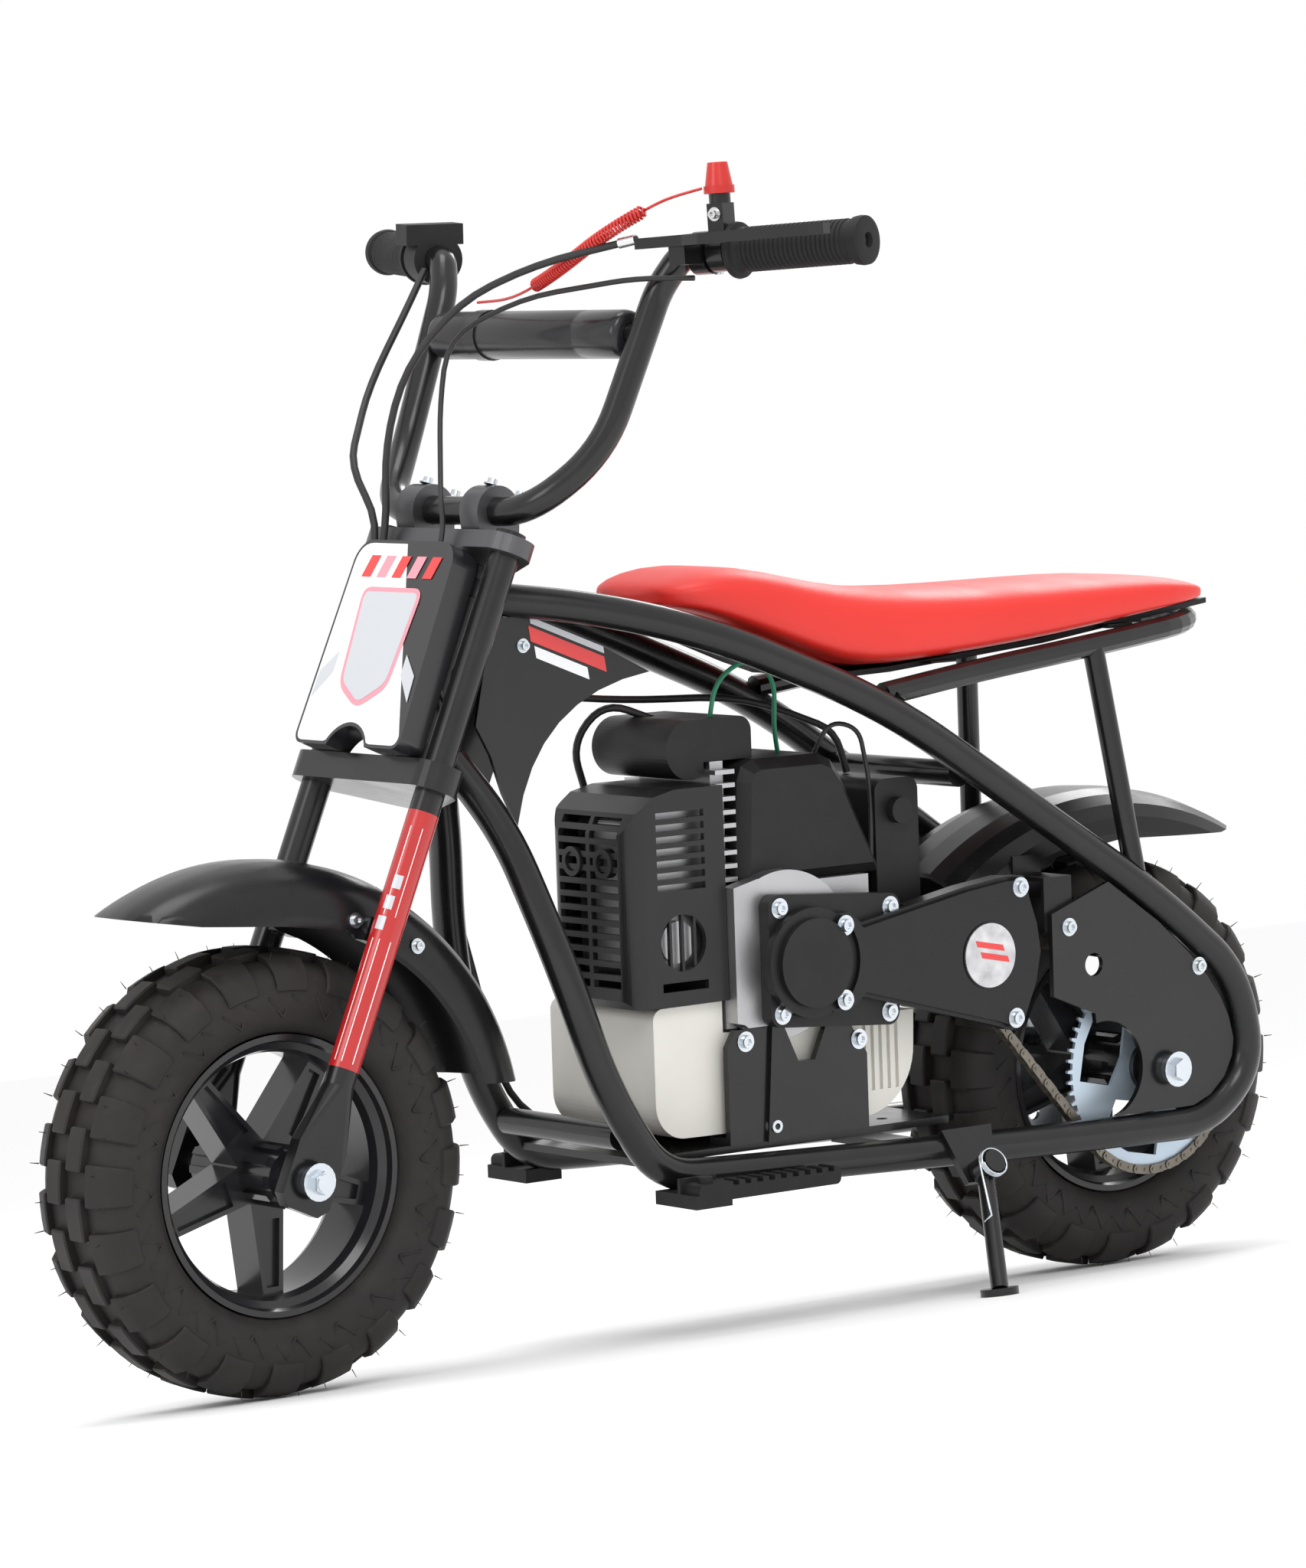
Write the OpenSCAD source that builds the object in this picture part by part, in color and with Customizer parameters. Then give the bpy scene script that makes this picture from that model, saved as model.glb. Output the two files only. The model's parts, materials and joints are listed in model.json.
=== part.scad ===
// Minibike, standing on its side stand. Millimetres, +X forward, +Y to the rider's left, +Z up.
// The bike is drawn upright with the front axle over x = 0, then park() leans it on its stand.

/* [View] */

/* [Stance] */

// Distance between the two axles
wheelbase = 708; // [600:1:850]
// Lean to the left when parked, in degrees
lean = 8; // [5:0.5:12]
// Steering axis tilt from vertical, in degrees
rake = 23.85; // [18:0.05:30]
// Distance from the steering axis forward to the fork legs
fork_offset = 25; // [15:0.5:40]

/* [Wheels] */

// Tyre radius at the lug tips
tyre_r = 145; // [130:0.5:175]
// Half of the tyre's width
tyre_half = 45; // [35:0.5:65]
// Radius of the rim's flange
rim_r = 91; // [80:0.5:110]
// Half of the rim's width
rim_half = 33; // [25:0.5:50]
// Radius of both axles
axle_r = 6; // [5:0.5:8]
// Number of spokes in each rim
spokes = 5; // [3:1:7]

/* [Tread] */

// Number of lugs round each row of the tread
lugs = 20; // [12:1:26]
// Share of each step that a lug takes up
lug_share = 0.62; // [0.4:0.01:0.8]

/* [Frame] */

// Radius of the main frame tubes
tube_r = 11; // [9:0.5:14]
// Radius of the seat rail tube
rail_r = 8; // [6:0.5:11]
// Outer radius of the head tube
head_r = 18; // [15:0.5:24]
// Radius of the steering stem
stem_r = 12; // [9:0.5:15]
// Sideways place of the fork legs
leg_y = 64; // [55:0.5:80]
// Radius of the fork legs
leg_r = 10; // [8:0.5:14]

/* [Controls] */

// Radius of the handlebar tube
bar_r = 9.5; // [8:0.5:12]
// Radius of the hand grips
grip_r = 14.5; // [12:0.5:18]
// Radius of the crossbar pad
pad_r = 16; // [12:0.5:22]

/* [Drive] */

// Teeth on the rear sprocket
ring_teeth = 60; // [48:12:72]
// Chain pitch
pitch = 7.6; // [7:0.1:10]
// Teeth on the engine's sprocket
drive_teeth = 14; // [10:1:18]
// Sideways place of the chain
chain_y = 67; // [60:0.5:75]

/* [Seat] */

// Half of the seat's greatest width
seat_half = 72; // [55:1:95]

/* [Hidden] */

$fn = 48;
ground_y = 19;
ground_drop = 2.39;
shift = [354, -106.845, ground_drop];
front = [0, 0, tyre_r];
rear = [-wheelbase, 0, tyre_r];
run_gap = 0.05;
weld = 0.2;

black = [0.06, 0.06, 0.07];
steel = [0.72, 0.76, 0.82];
alloy = [0.66, 0.67, 0.7];
red = [0.85, 0.1, 0.09];
rubber = [0.05, 0.05, 0.05];
cream = [0.86, 0.86, 0.82];
white = [0.9, 0.9, 0.9];

// Left half of the frame's side loop, from the head tube round the rear and back to the head
loop_pts = [[-196, 17, 503], [-262, 44, 492], [-340, 68, 470], [-478, 74, 414], [-700, 88, 266],
    [-772, 90, 206], [-784, 90, 140], [-742, 90, 104], [-600, 85, 106], [-330, 75, 114],
    [-272, 75, 117], [-232, 74, 176], [-206, 62, 266], [-186, 34, 350], [-168, 14, 398]];
loop_bend = [0, 40, 60, 60, 60, 40, 36, 34, 60, 60, 34, 34, 60, 60, 0];
loop_path = bent(loop_pts, loop_bend, 5);
loop_from = 50;
loop_to = 63;
rail_pts = [[-478, 70, 421], [-560, 68, 431], [-690, 68, 444], [-770, 58, 452], [-803, 0, 455],
    [-770, -58, 452], [-690, -68, 444], [-560, -68, 431], [-478, -70, 421]];
rail_bend = [0, 40, 40, 36, 36, 36, 40, 40, 0];
bar_pts = [[-181, 0, 560], [-181, 78, 560], [-219, 110, 597], [-262, 119, 700], [-272, 132, 722],
    [-318, 262, 728]];
bar_bend = [0, 28, 30, 11, 9, 0];

function unit(v) = v / norm(v);
function tangent(p, i) = unit(p[min(i + 1, len(p) - 1)] - p[max(i - 1, 0)]);
function flat(v, t) = unit(v - t * (v * t));
function mix(a, b, t) = a + (b - a) * t;
function bezier(a, b, c, t) = mix(mix(a, b, t), mix(b, c, t), t);
function cut(p, i, r) = min(r, norm(p[i] - p[i - 1]) * 0.49, norm(p[i + 1] - p[i]) * 0.49);
function corner(p, i, r, n) = let (c = cut(p, i, r),
    a = p[i] + unit(p[i - 1] - p[i]) * c, b = p[i] + unit(p[i + 1] - p[i]) * c)
    [for (k = [0:n]) bezier(a, p[i], b, k / n)];
function bent(p, r, n) = [for (i = [0:len(p) - 1])
    each (i == 0 || i == len(p) - 1 || r[i] == 0) ? [p[i]] : corner(p, i, r[i], n)];
function rails(p) = [for (i = 0, u = flat([0.31, 1, 0.23], tangent(p, 0)); i < len(p);
    i = i + 1, u = i < len(p) ? flat(u, tangent(p, i)) : u) u];
function ring(c, t, u, r, n) = let (a = flat(u, t), b = cross(t, a))
    [for (k = [0:n - 1]) c + (a * cos(360 * k / n) + b * sin(360 * k / n)) * r];
function flip(p) = [for (q = p) [q[0], -q[1], q[2]]];
function both(p) = concat([for (i = [len(p) - 1:-1:1]) [p[i][0], -p[i][1], p[i][2]]], p);
function twice(r) = concat([for (i = [len(r) - 1:-1:1]) r[i]], r);

// A round tube swept along a path
module sweep(p, r, n) {
    u = rails(p);
    m = len(p);
    points = [for (i = [0:m - 1]) each ring(p[i], tangent(p, i), u[i], r, n)];
    sides = [for (i = [0:m - 2], k = [0:n - 1], h = [0, 1])
        let (a = i * n + k, b = i * n + (k + 1) % n) h == 0 ? [a, a + n, b] : [b, a + n, b + n]];
    start = [[for (k = [0:n - 1]) k]];
    end = [[for (k = [n - 1:-1:0]) (m - 1) * n + k]];
    polyhedron(points = points, faces = concat(start, sides, end), convexity = 10);
}

module park() { translate(shift) rotate([-lean, 0, 0]) children(); }

module sideways(y0, y1, at, r) {
    translate([at[0], y0, at[2]]) rotate([-90, 0, 0]) cylinder(h = y1 - y0, r = r);
}

module slab(y0, y1) {
    translate([0, y1, 0]) rotate([90, 0, 0]) linear_extrude(y1 - y0) children();
}

module box(a, b) { translate(a) cube(b - a); }

module rounded_box(a, b, r) {
    slab(a[1], b[1]) translate([a[0] + r, a[2] + r]) offset(r = r)
        square([b[0] - a[0] - 2 * r, b[2] - a[2] - 2 * r]);
}

// A round bar between two points
module rod(a, b, r) {
    d = b - a;
    translate(a) rotate([0, acos(d[2] / norm(d)), atan2(d[1], d[0])]) cylinder(h = norm(d), r = r);
}

// The steering frame: local Z along the steering axis, local X forward of it
steer_foot = [-fork_offset / cos(rake), 0, tyre_r];
module steered() { translate(steer_foot) rotate([0, -rake, 0]) children(); }
function up_stem(x, y, z) = steer_foot
    + [x * cos(rake) - z * sin(rake), y, x * sin(rake) + z * cos(rake)];

head_low = 276;
head_high = 402;

module frame_loop(side) {
    difference() {
        sweep(side > 0 ? bent(loop_pts, loop_bend, 5) : flip(bent(loop_pts, loop_bend, 5)),
            tube_r, 16);
        steered() {
            translate([0, 0, head_low - 40]) cylinder(h = 220, r = head_r);
            translate([0, 0, head_low - 1]) cylinder(h = 13.2, r = head_r + 3.2);
            translate([0, 0, head_high - 12.2]) cylinder(h = 13, r = head_r + 3.2);
        }
    }
}
module frame_loop_left() {
    color(black) park() intersection() {
        frame_loop(1);
        box([-900, weld, 0], [0, 200, 600]);
    }
}
module frame_loop_right() {
    color(black) park() intersection() {
        mirror([0, 1, 0]) frame_loop(1);
        box([-900, -200, 0], [0, -weld, 600]);
    }
}
module head_tube() {
    color(black) park() steered() difference() {
        union() {
            translate([0, 0, head_low]) cylinder(h = head_high - head_low, r = head_r - weld);
            translate([0, 0, head_low]) cylinder(h = 12, r = head_r + 3);
            translate([0, 0, head_high - 12]) cylinder(h = 12, r = head_r + 3);
        }
        translate([0, 0, head_low - 1]) cylinder(h = 200, r = stem_r + run_gap);
    }
}
module cross_tubes() {
    color(black) park() {
        sideways(-62.6, 62.6, [-250, 0, 145], 9);
        sideways(-66.8, 66.8, [-545, 0, 362], 9);
        box([-560, -72, 98], [-535, 72, 104]);
    }
}
module gusset_panels() {
    color(black) park() for (s = [0, 1]) mirror([0, s, 0]) slab(19, 22)
        polygon(concat([[-190, 489.2], [-222, 489.4], [-262, 474], [-318, 446]],
            [for (k = [1:8]) bezier([-318, 446], [-222, 436], [-205, 352], k / 8)],
            [[-194, 374], [-185, 400], [-174, 420]]));
}
module seat_rail() {
    color(black) park() {
        difference() {
            union() {
                sweep(bent(rail_pts, rail_bend, 5), rail_r, 12);
                for (s = [-1, 1]) rod([-668, s * 68, 440], [-684, s * 87, 284], rail_r - 0.5);
            }
            for (s = [0, 1]) mirror([0, s, 0]) {
                rod(loop_pts[3], loop_pts[4], tube_r + weld);
                sweep([for (i = [12:18]) loop_path[i]], tube_r + weld, 16);
            }
        }
    }
}
module engine_plate() {
    color(black) park() difference() {
        box([-530, -63, 124], [-262, 63, 129]);
        for (x = [-490, -310], y = [-40, 40]) translate([x, y, 120]) cylinder(h = 12, r = 4);
    }
}
module mount_bracket() {
    color(black) park() {
        slab(62, 67) polygon([[-338, 129.2], [-457, 129.2], [-457, 180], [-440, 206],
            [-424, 206], [-412, 180], [-398, 180], [-386, 206], [-345, 206], [-338, 195]]);
        slab(-67, -62) polygon([[-338, 129.2], [-457, 129.2], [-457, 190], [-338, 190]]);
        box([-457, 45, 129.2], [-338, 62.5, 134]);
        box([-457, -62.5, 129.2], [-338, -45, 134]);
        slab(67, 70) polygon([[-368, 129.2], [-386, 129.2], [-386, 148], [-380, 206], [-374, 206]]);
    }
}
module engine_block() {
    color(alloy) park() {
        box([-470, -58, 206.3], [-345, 58, 300]);
        slab(57.9, 61.8) crank_flange();
        slab(61.7, 69.8) intersection() {
            crank_flange();
            translate([-460, 207]) square([130, 120]);
        }
        box([-361, -36, 299], [-350, 42, 384]);
        for (k = [0:fins - 1]) box([-361.5, -46, 304 + k * 9], [-345.2, 54, 307 + k * 9]);
    }
}
module crank_flange() {
    intersection() {
        union() {
            translate([crank[0], crank[2]]) circle(r = 57);
            polygon([[-340, 212], [-340, 300], [-366, 306], [-388, 253], [-366, 206]]);
        }
        translate([-460, 190]) square([460 - 345.2, 130]);
    }
}
crank = [-388, 0, 253];
fins = 9;
module shroud_side() {
    polygon([[-362.2, 300.3], [-366, 370], [-370, 380], [-380, 384], [-434, 384], [-446, 379],
        [-454, 368], [-484, 306], [-484, 300.3]]);
}
module cooling_shroud() {
    color(black) park() {
        slab(-58, 50) shroud_side();
        hull() {
            slab(49.9, 50) shroud_side();
            slab(57.9, 58) offset(delta = -7) shroud_side();
        }
    }
}
module top_cover() {
    color(black) park() difference() {
        slab(-40, 42) hull() {
            translate([-386, 384.3]) square([40, 10]);
            translate([-334, 393]) circle(r = 20);
            translate([-376, 403]) circle(r = 10);
        }
        box([-400, -60, 360], [-345, 60, 384.3]);
    }
}
module guard_side(in) {
    offset(delta = -in) polygon([[-344.7 - 2 * in, 226.3], [-270, 226.3], [-265, 232], [-265, 342],
        [-272, 356], [-286, 366], [-304, 370], [-344.7 - 2 * in, 370]]);
}
module guard_plan(in) {
    translate([-265 - 14, -28 + 14]) offset(r = 14 - in) translate([-90, 0]) square([90, 62]);
}
guard_wall = 4;
module muffler_guard() {
    color(black) park() {
        difference() {
            intersection() {
                slab(-28, 62) guard_side(0);
                translate([0, 0, 226]) linear_extrude(145) guard_plan(0);
            }
            intersection() {
                slab(-28, 62) guard_side(guard_wall);
                translate([0, 0, 226]) linear_extrude(145) guard_plan(guard_wall);
            }
            box([-420, -60, 226], [-344.7, 100, 371]);
            for (k = [0:12], y = [-15, 19]) box([-290, y, 240 + k * 9], [-260, y + 30, 245 + k * 9]);
            for (k = [0:6]) box([-328, 50, 303 + k * 8], [-288, 64, 307.5 + k * 8]);
            sideways(50, 64, [-308, 0, 268], 19);
            box([-328, 50, 236], [-290, 64, 242]);
        }
        for (y = [0, 34]) translate([-270, y, 322.7]) rotate([0, 90, 0]) difference() {
            cylinder(h = 6.4, r = 10);
            translate([0, 0, -1]) cylinder(h = 9, r = 6.5);
        }
        for (k = [-1:1]) box([-309 + k * 10, 58.5, 246], [-307 + k * 10, 61.5, 290]);
    }
}
module muffler() {
    color(alloy) park() {
        rounded_box([-344.8, -18, 244], [-284, 50, 356], 12);
        sideways(50, 56, [-308, 0, 268], 14);
    }
}
module fuel_tank() {
    color(cream) park() difference() {
        slab(-58, 56) hull() {
            translate([-309, 161]) circle(r = 24);
            translate([-461, 180.5]) circle(r = 45.5);
            translate([-293, 217]) circle(r = 8);
            translate([-500, 218]) circle(r = 8);
        }
        box([-520, -70, 204], [-343, 70, 240]);
        for (k = [0:4], y = [-61, 53]) box([-493 + k * 7, y, 152], [-490 + k * 7, y + 6, 199]);
    }
}
module tank_cap() {
    color(black) park() {
        sideways(-64, -58.1, [-318, 0, 186], 17);
        for (k = [0:11]) translate([-318, -70, 186]) rotate([-90, k * 30, 0]) translate([14, -1.5, 0])
            cube([5, 3, 8]);
        sideways(-70, -64, [-318, 0, 186], 15);
    }
}
module recoil_starter() {
    color(black) park() {
        difference() {
            union() {
                sideways(-70, -58.2, crank, 56);
                sideways(-79, -70, crank, 50);
                sideways(-84, -79, crank, 26);
            }
            for (k = [0:9]) translate([crank[0], -82, crank[2]]) rotate([0, k * 36, 0])
                box([31, 0, -4], [45, 8, 4]);
        }
        rod([-425, -68, 290], [-446, -68, 308], 5);
        rod([-454, -80, 306], [-442, -63, 314], 4.5);
    }
}
module air_filter() {
    color(black) park() {
        rounded_box([-522, -30, 270], [-484.3, 50, 362], 9);
        box([-490, -10, 240], [-470.3, 30, 299.8]);
        sideways(50, 57, [-503, 0, 340], 9);
        for (k = [0:3]) box([-524, -24, 284 + k * 16], [-521, 44, 290 + k * 16]);
    }
}
// Corners of the clutch housing's flange, at its four bolts
flange_pts = [[-375, 286], [-470, 279], [-467, 208], [-375, 215]];
boss_at = [-398, 0, 248];
module clutch_housing() {
    color(black) park() {
        slab(70, 80) hull() for (q = flange_pts) translate(q) circle(r = 9);
        sideways(80, 87, boss_at, 37);
        sideways(87, 91, boss_at, 30);
    }
}
module cover_side() {
    polygon([[-414, 279], [-430, 279], [-440, 271], [-531, 287], [-566, 291], [-584, 290],
        [-588, 276], [-594, 258], [-597, 238], [-592, 216], [-580, 190], [-570, 185], [-555, 190],
        [-440, 221], [-430, 213], [-414, 213]]);
}
module drive_cover() {
    color(black) park() {
        difference() {
            union() {
                slab(80.2, 86) cover_side();
                slab(85.9, 90) offset(delta = -3) cover_side();
            }
            sideways(79, 93, boss_at, 37.2);
        }
        intersection() {
            slab(72, 80.3) cover_side();
            box([-620, 70, 150], [-483.4, 85, 320]);
        }
        sideways(90, 90.8, [-548, 0, 239], 23);
        sideways(58, 72.5, drive, 4.8);
    }
}

drive = [-552, 0, 236];
drive_r = pitch * drive_teeth / (2 * PI);
ring_r = pitch * ring_teeth / (2 * PI);

function wheel_teeth(n, r, tip, root) = [for (i = [0:n - 1], q = [[0, root], [0.28, root],
    [0.4, tip], [0.6, tip], [0.72, root]]) let (a = 360 * (i + q[0] - 0.14 + 0.0) / n)
    [(r + q[1]) * cos(a), (r + q[1]) * sin(a)]];

module drive_sprocket() {
    color(steel) park() slab(chain_y - 1.2, chain_y + 1.2) translate([drive[0], drive[2]])
        difference() {
            polygon(wheel_teeth(drive_teeth, drive_r, 1.6, -2.6));
            circle(r = 5);
        }
}

span = norm(rear - drive);
lead = atan2(rear[2] - drive[2], rear[0] - drive[0]);
wrap = acos((drive_r - ring_r) / span);
low_n = lead + wrap;
high_n = lead - wrap;
function on(c, r, a) = [c[0] + r * cos(a), c[2] + r * sin(a)];
run = norm(on(rear, ring_r, low_n) - on(drive, drive_r, low_n));
module chain_shape(grow) {
    hull() {
        translate([drive[0], drive[2]]) circle(r = drive_r + grow);
        translate([rear[0], rear[2]]) circle(r = ring_r + grow);
    }
}
module chain() {
    color(steel) park() for (s = [-1, 1]) slab(chain_y + s * 3 - 0.8, chain_y + s * 3 + 0.8)
        difference() {
            chain_shape(3.4);
            chain_shape(-3.4);
        }
}
module dropout_plates() {
    color(black) park() for (s = [0, 1]) mirror([0, s, 0]) slab(88, 92) difference() {
        polygon([[-655, 280], [-603, 262], [-603, 205], [-640, 190], [-648, 117], [-728, 117],
            [-744, 123], [-757, 134], [-765, 148], [-767, 160], [-763, 176], [-756, 190],
            [-744, 206.5], [-728, 223.5], [-700, 248.5]]);
        translate([-648, 150]) circle(r = 34);
        translate([-640, 224]) circle(r = 8);
        translate([rear[0], rear[2]]) circle(r = axle_r + weld);
    }
}
module rear_axle() {
    color(steel) park() {
        sideways(-104, 104, rear, axle_r);
        sideways(74, 87.8, rear, 9);
        sideways(-87.8, -66, rear, 9);
        sideways(92.2, 99, rear, 10);
        sideways(-99, -92.2, rear, 10);
    }
}
module brake_caliper() {
    color(alloy) park() difference() {
        box([-696, -87.8, 178], [-656, -46, 214]);
        box([-700, -64.5, 170], [-640, -50.5, 207]);
    }
}
module rear_fender() {
    color(black) park() {
        intersection() {
            fender_shell([-700, 0, 95], 208, 56, 35);
            slab(-57, 57) polygon([[-556, 262], [-556, 330], [-600, 360], [-842, 360], [-846, 306],
                [-800, 300], [-700, 304], [-640, 296], [-615, 262]]);
            translate([0, 0, 200]) linear_extrude(180) polygon([[-540, -60], [-540, 60],
                [-740, 60], [-800, 50], [-836, 30], [-846, 10], [-846, -10], [-836, -30],
                [-800, -50], [-740, -60]]);
        }
        for (s = [0, 1]) mirror([0, s, 0]) {
            box([-625, 53.6, 270], [-600, 56, 300]);
            box([-625, 53.6, 284], [-600, 87.8, 287]);
            box([-625, 85, 250], [-600, 87.8, 287]);
        }
    }
}
seat_under = [[-790, 467], [-724, 459], [-638, 448.5], [-501, 438], [-461, 437], [-435, 446],
    [-400, 460], [-371, 472], [-345, 483], [-318, 491]];
seat_top = [[-322, 499], [-338, 509], [-361, 514], [-403, 508], [-449, 496], [-495, 489],
    [-570, 485], [-709, 486], [-745, 484], [-773, 478], [-792, 472]];
module seat_pan() {
    color(black) park() {
        slab(-50, 50) polygon(concat([for (i = [0:7]) seat_under[i] - [0, 0.3]],
            [for (i = [7:-1:0]) seat_under[i] - [0, 4]]));
        box([-712, -59.8, 451.5], [-690, 59.8, 454.2]);
        box([-552, -59.8, 438], [-530, 59.8, 439.4]);
    }
}
module seat_cushion() {
    color(red) park() intersection() {
        slab(-seat_half, seat_half) polygon(concat(seat_under, seat_top));
        translate([0, 0, 400]) linear_extrude(140) hull() {
            for (s = [-1, 1]) {
                translate([-340, s * 34]) circle(r = 24);
                translate([-420, s * (seat_half - 24)]) circle(r = 24);
                translate([-766, s * (seat_half - 28)]) circle(r = 28);
            }
        }
    }
}
peg_teeth = 9;
module foot_peg() {
    difference() {
        union() {
            box([-300, 72, 99], [-270, 116, 108]);
            box([-300, 96, 99], [-270, 99, 118]);
        }
        sweep([for (i = [loop_from:loop_to]) loop_path[i]], tube_r + weld, 16);
    }
    rod([-284, 107.5, 100], [-284, 107.5, 119], 5);
    difference() {
        rounded_box([-392, 99.4, 103], [-273, 116, 115], 4);
        for (k = [0:peg_teeth - 1]) box([-386 + k * 10, 98, 112], [-381 + k * 10, 118, 118]);
    }
}
module foot_peg_left() {
    color(black) park() foot_peg();
}
module foot_peg_right() {
    color(black) park() mirror([0, 1, 0]) foot_peg();
}
axle_drop = fork_offset * tan(rake);
lug_end = 5;
module fork_leg(s) {
    color(black) park() steered() translate([fork_offset, s * leg_y, -axle_drop]) difference() {
        union() {
            translate([0, 0, 62]) cylinder(h = 377, r = leg_r);
            hull() {
                translate([0, 0, 62]) cylinder(h = 1, r = leg_r);
                box([-19, -lug_end, 10], [19, lug_end, 22]);
            }
            rotate([90, 0, 0]) linear_extrude(2 * lug_end, center = true)
                polygon([[-19, 12], [-19, -14], [-12, -21], [12, -21], [19, -14], [19, 12]]);
        }
        rotate([90, 0, 0]) cylinder(h = 60, r = axle_r + weld / 10, center = true);
    }
}
module fork_leg_left() { fork_leg(1); }
module fork_leg_right() { fork_leg(-1); }
stem_boss = 22;
leg_boss = 17;
module clamp_plate(z0, z1) {
    difference() {
        translate([0, 0, z0]) linear_extrude(z1 - z0) hull() {
            circle(r = stem_boss);
            for (s = [-1, 1]) translate([fork_offset, s * leg_y]) circle(r = leg_boss);
        }
        for (s = [-1, 1]) translate([fork_offset, s * leg_y, z0 - 1])
            cylinder(h = z1 - z0 + 2, r = leg_r + 0.01);
    }
}
module lower_clamp() {
    color(black) park() steered() {
        clamp_plate(250, 268);
        translate([0, 0, 260]) cylinder(h = 152, r = stem_r);
    }
}
module upper_clamp() {
    color(steel) park() steered() difference() {
        union() {
            clamp_plate(412.2, 424);
            for (s = [-1, 1]) translate([0, s * 36 + 10, 0]) rotate([90, 0, 0]) linear_extrude(20)
                hull() {
                    translate([6, 423]) square([30, 10]);
                    translate([bar_seat[0], bar_seat[1]]) circle(r = 17);
                }
        }
        translate([bar_seat[0], 0, bar_seat[1]]) rotate([90, 0, 0])
            cylinder(h = 200, r = bar_r + 0.01, center = true);
        for (s = [-1, 1]) box([bar_seat[0] - 30, s * 36 - 12, bar_seat[1] - 0.8],
            [bar_seat[0] - 7, s * 36 + 12, bar_seat[1] + 0.8]);
    }
}
bar_at = bar_pts[0] - steer_foot;
bar_seat = [bar_at[0] * cos(rake) + bar_at[2] * sin(rake),
    -bar_at[0] * sin(rake) + bar_at[2] * cos(rake)];
module front_axle() {
    color(steel) park() {
        sideways(-84, 84, front, axle_r);
        sideways(47, 58.8, front, 9);
        sideways(-58.8, -47, front, 9);
        sideways(69.2, 76, front, 10);
        sideways(-76, -69.2, front, 10);
    }
}
// Half of a fender's arched section: distance out, height above its edge
fender_arch = [[0, 40], [16, 39], [28, 35], [37, 28], [43, 18], [46, 6], [46, 0]];
fender_skin = 2.6;
function arch_out(r, w, h) = [for (q = fender_arch) [r + q[1] * h / 40, q[0] * w / 46]];
module fender_shell(at, r, w, h) {
    outer = arch_out(r, w, h);
    inner = arch_out(r - fender_skin, w - fender_skin, h);
    n = len(outer) - 1;
    translate(at) rotate([-90, 0, 0]) rotate_extrude() polygon(concat(
        [for (i = [n:-1:0]) outer[i]], [for (i = [1:n]) [outer[i][0], -outer[i][1]]],
        [for (i = [n:-1:1]) [inner[i][0], -inner[i][1]]], [for (i = [0:n]) inner[i]]));
}
module front_fender() {
    color(black) park() {
        intersection() {
            fender_shell(front, 161, 46, 40);
            slab(-53, 53) polygon([[104, 318], [60, 311], [0, 306], [-50, 299], [-85, 262],
                [-108, 216], [-140, 190], [-196, 186], [-240, 300], [-100, 380], [104, 380]]);
            translate([0, 0, 100]) linear_extrude(280) polygon([[108, -10], [108, 10], [88, 34],
                [50, 47], [-250, 47], [-250, -47], [50, -47], [88, -34]]);
        }
        steered() for (s = [-1, 1]) box([10, s * 20 - 8, 186.5], [13, s * 20 + 8, 249.8]);
    }
}
plate_wall = 3;
// Front view of the number plate, drawn in local Y and Z of the steering frame
module plate_outline() {
    difference() {
        hull() for (s = [-1, 1]) {
            translate([s * 39, 394]) circle(r = 16);
            translate([s * 51, 276.4]) circle(r = 8);
        }
        translate([0, 258]) circle(r = 24);
    }
}
module number_plate() {
    color(white) park() steered() rotate([90, 0, 90]) difference() {
        translate([0, 0, 36]) linear_extrude(20) plate_outline();
        translate([0, 0, 30]) linear_extrude(26 - plate_wall)
            offset(delta = -plate_wall) plate_outline();
        box([-54, 392, 30], [38, 420, 50.5]);
    }
}
module handlebar() {
    color(black) park() {
        sweep(both(bent(bar_pts, bar_bend, 4)), bar_r, 16);
        sideways(-114, 114, [-250.3, 0, 672], 7);
    }
}
module bar_pad() {
    color(black) park() difference() {
        sideways(-104, 104, [-250.3, 0, 672], pad_r);
        sideways(-110, 110, [-250.3, 0, 672], 7.3);
    }
}
function bar_on(t) = mix(bar_pts[4], bar_pts[5], t);
grip_len = norm(bar_pts[5] - bar_pts[4]) * 0.72;
module grip(s) {
    color(rubber) park() on_bar(s, 0.3) difference() {
        union() {
            cylinder(h = grip_len, r = grip_r);
            cylinder(h = 4, r = grip_r + 4);
            translate([0, 0, grip_len - 5]) cylinder(h = 5, r = grip_r + 1.5);
        }
        translate([0, 0, -1]) cylinder(h = grip_len - 1, r = bar_r + 0.1);
    }
}
module grip_left() { grip(1); }
module grip_right() { grip(-1); }
// Places its children on the handlebar's straight end, local Z outward along it, -Y forward
bar_dir = unit(bar_pts[5] - bar_pts[4]);
module on_bar(s, t) {
    mirror([0, s < 0 ? 1 : 0, 0]) translate(bar_on(t))
        rotate([0, acos(bar_dir[2]), atan2(bar_dir[1], bar_dir[0])]) children();
}
module bar_ring(len, r) {
    difference() {
        cylinder(h = len, r = r);
        translate([0, 0, -1]) cylinder(h = len + 2, r = bar_r + 0.05);
    }
}
module brake_lever() {
    color(black) park() on_bar(1, 0.085) {
        bar_ring(12, 14);
        box([-11, -34, 0], [7, -13, 12]);
        translate([-12, 0, 0]) rotate([90, 0, 90]) linear_extrude(7) polygon([[-35, -25], [-25, -25],
            [-24, 22], [-34, 34], [-39, 70], [-40, 118], [-44, 128], [-52, 128], [-54, 118],
            [-52, 70], [-46, 30], [-40, 14]]);
    }
}
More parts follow.
